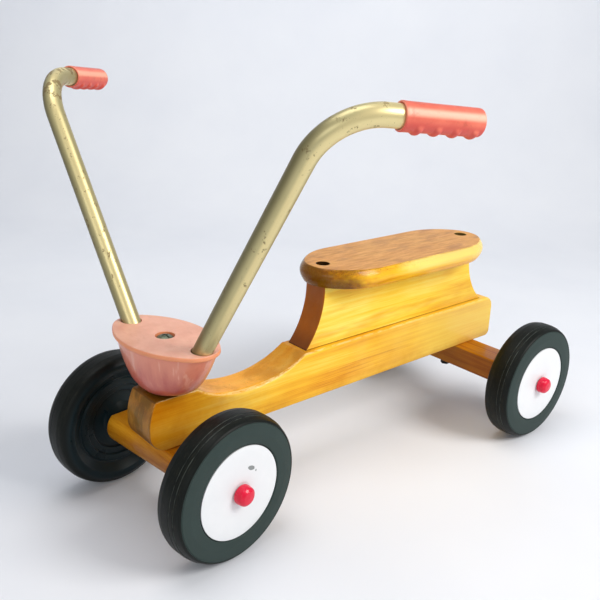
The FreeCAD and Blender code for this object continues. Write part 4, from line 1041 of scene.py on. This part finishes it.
LID_LEVELS = [
    # (inset, height)
    (1.6, 201.0), (0.6, 201.2), (0.1, 201.9), (0.0, 203.6), (0.2, 205.0), (0.6, 205.7),
    (1.1, 206.0),
]
BOWL_LEVELS = [
    # (height above the foot, half length, half width, tip radius)
    (0.0, 21.0, 20.0, 19.5), (1.0, 25.0, 21.6, 20.2), (5.0, 34.6, 25.4, 22.0),
    (10.0, 41.2, 28.8, 23.2), (15.0, 45.4, 31.0, 24.0), (22.0, 50.2, 33.2, 24.6),
    (30.0, 54.8, 35.0, 25.0), (40.0, 59.8, 36.8, 25.0), (50.5, 64.2, 38.4, 25.0),
]


def make_lid():
    """Oval lid with a recess for the screw and a slanting hole for each tube."""
    shell = Shell()
    loops = []
    for inset, height in LID_LEVELS:
        outline = oval(LID_HALF_LENGTH, LID_HALF_WIDTH, LID_TIP_RADIUS, 0.0, inset)
        loops.append([(y, -x, height) for x, y in outline])
    bottom, top = shell.stack(loops)
    upper_holes, lower_holes = [], []
    slant = math.tan(TUBE_LEAN)
    long_radius, short_radius, inboard = 11.45, 10.0, 0.45
    for side in (1, -1):
        hole = []
        for height, wider in ((LID_TOP, 0.35), (LID_TOP - 0.4, 0.0), (LID_BOTTOM, 0.0)):
            x = side * (TUBE_SPACING - inboard + (height - LID_TOP) * slant)
            hole.append(ring_at(x, 0, height, long_radius + wider, short_radius + wider))
        rim, foot = shell.stack(hole)
        upper_holes.append(rim)
        lower_holes.append(foot)
    recess = blind_hole(shell, 0, LID_TOP, RECESS_RADIUS, 0.6, RECESS_DEPTH)
    shell.cover(top, *upper_holes, recess)
    shell.cover(bottom, *lower_holes)
    flat_shade(make_baked("lid_moulding", shell.vertices, shell.faces, "lid_plastic", HUB,
                          "hub_lid", sharp=50))


def make_bowl():
    """Boat-shaped moulding under the lid, closed across its top, which the lid hides."""
    shell = Shell()
    loops = []
    for height, length, width, tip in smooth_levels(BOWL_LEVELS, 5):
        outline = oval(length, width, tip)
        loops.append([(y, -x, BOWL_BOTTOM + height) for x, y in outline])
    bottom, top = shell.stack(loops)
    shell.cover(bottom)
    shell.cover(top)
    make_baked("bowl_moulding", shell.vertices, shell.faces, "hub_plastic", HUB, "hub_bowl",
               sharp=50)


def smooth_levels(levels, parts):
    """Catmull-Rom curve through rows of numbers."""
    rows = [Vector(row) for row in levels]
    rows = [2 * rows[0] - rows[1], *rows, 2 * rows[-1] - rows[-2]]
    result = []
    for a, b, c, d in zip(rows, rows[1:], rows[2:], rows[3:]):
        for k in range(parts):
            t = k / parts
            result.append(0.5 * (2 * b + (c - a) * t + (2 * a - 5 * b + 4 * c - d) * t * t
                                 + (3 * b - a - 3 * c + d) * t ** 3))
    result.append(rows[-2])
    return result


# ---- assembly

slots = {entry["node"]: entry["material_slot"] for entry in frame["record"]["subparts"]}
for node_name, node in frame["nodes"].items():
    node.data.materials.clear()
    node.data.materials.append(PAINTS[slots[node_name]])

make_wheels()
for bar_name, bar_side in (("left", 1), ("right", -1)):
    make_handlebar(bar_name, bar_side)
make_beam()
make_riser()
make_seat()
make_blocks()
make_lid()
make_bowl()


# ---- studio

def backdrop():
    """Pale floor that curves up into a wall behind the object."""
    near, far, curve, height, half_width = -3000, 1150, 600, 3500, 5000
    profile = [(near, 0), *arc_points((far, curve), curve, -math.pi / 2, 0, 16),
               (far + curve, height)]
    turn = Matrix.Rotation(CAMERA_YAW, 3, "Z")
    loops = [[turn @ Vector((x, y, z)) for y, z in profile] for x in (-half_width, half_width)]
    vertices, faces = rings(loops, closed_loop=False)
    mesh = bpy.data.meshes.new("backdrop")
    mesh.from_pydata([v * MM for v in vertices], [], faces)
    for polygon in mesh.polygons:
        polygon.use_smooth = True
    floor = bpy.data.objects.new("backdrop", mesh)
    bpy.context.scene.collection.objects.link(floor)
    p = Paint("studio_floor", Roughness=0.85)
    cloud = p.noise(p.stretch((0.004,) * 3), 1.0, 3)
    mesh.materials.append(p.finish(p.mix(cloud, (224, 227, 234), (236, 238, 242))))


def area_light(name, place, target, size, power, colour=(1, 1, 1)):
    light = bpy.data.lights.new(name, "AREA")
    light.shape = "RECTANGLE"
    light.size, light.size_y = size
    light.energy = power
    light.color = colour
    lamp = bpy.data.objects.new(name, light)
    bpy.context.scene.collection.objects.link(lamp)
    lamp.location = place
    lamp.rotation_mode = "QUATERNION"
    lamp.rotation_quaternion = (Vector(target) - Vector(place)).to_track_quat("-Z", "Y")


def make_camera():
    """The photograph's camera, as solved from it."""
    yaw, pitch, roll = CAMERA_YAW, CAMERA_PITCH, CAMERA_ROLL
    ahead = Vector((-math.sin(yaw) * math.cos(pitch), math.cos(yaw) * math.cos(pitch),
                    -math.sin(pitch)))
    right = Vector((math.cos(yaw), math.sin(yaw), 0))
    up = right.cross(ahead)
    tilted = right * math.cos(roll) + up * math.sin(roll)
    above = up * math.cos(roll) - right * math.sin(roll)
    turn = Matrix((tilted, above, -ahead)).transposed().to_4x4()
    lens = bpy.data.cameras.new("camera")
    lens.sensor_width = 36
    lens.lens = 44.686
    lens.clip_start, lens.clip_end = 0.01, 50
    camera = bpy.data.objects.new("camera", lens)
    bpy.context.scene.collection.objects.link(camera)
    camera.matrix_world = Matrix.Translation((0.5917, -0.3512, 0.4877)) @ turn
    bpy.context.scene.camera = camera


backdrop()
make_camera()
world = bpy.data.worlds.new("studio")
world.use_nodes = True
world.node_tree.nodes["Background"].inputs["Color"].default_value = (0.95, 0.97, 1.0, 1)
world.node_tree.nodes["Background"].inputs["Strength"].default_value = 0.42
bpy.context.scene.world = world
area_light("key", (1.35, 0.75, 1.25), (0, 0.2, 0.12), (0.8, 0.8), 23, (1.0, 0.98, 0.95))
area_light("top", (-0.1, -0.1, 1.7), (0, 0.2, 0.2), (0.9, 0.9), 8)
area_light("front", (0.9, -1.5, 0.9), (0, 0.2, 0.15), (1.0, 0.7), 5)
area_light("wall", (-0.41, 0.37, 1.2), (-1.31, 1.16, 0.9), (1.6, 0.5), 5)
bpy.context.scene.view_settings.view_transform = "Standard"
bpy.context.scene.view_settings.look = "None"
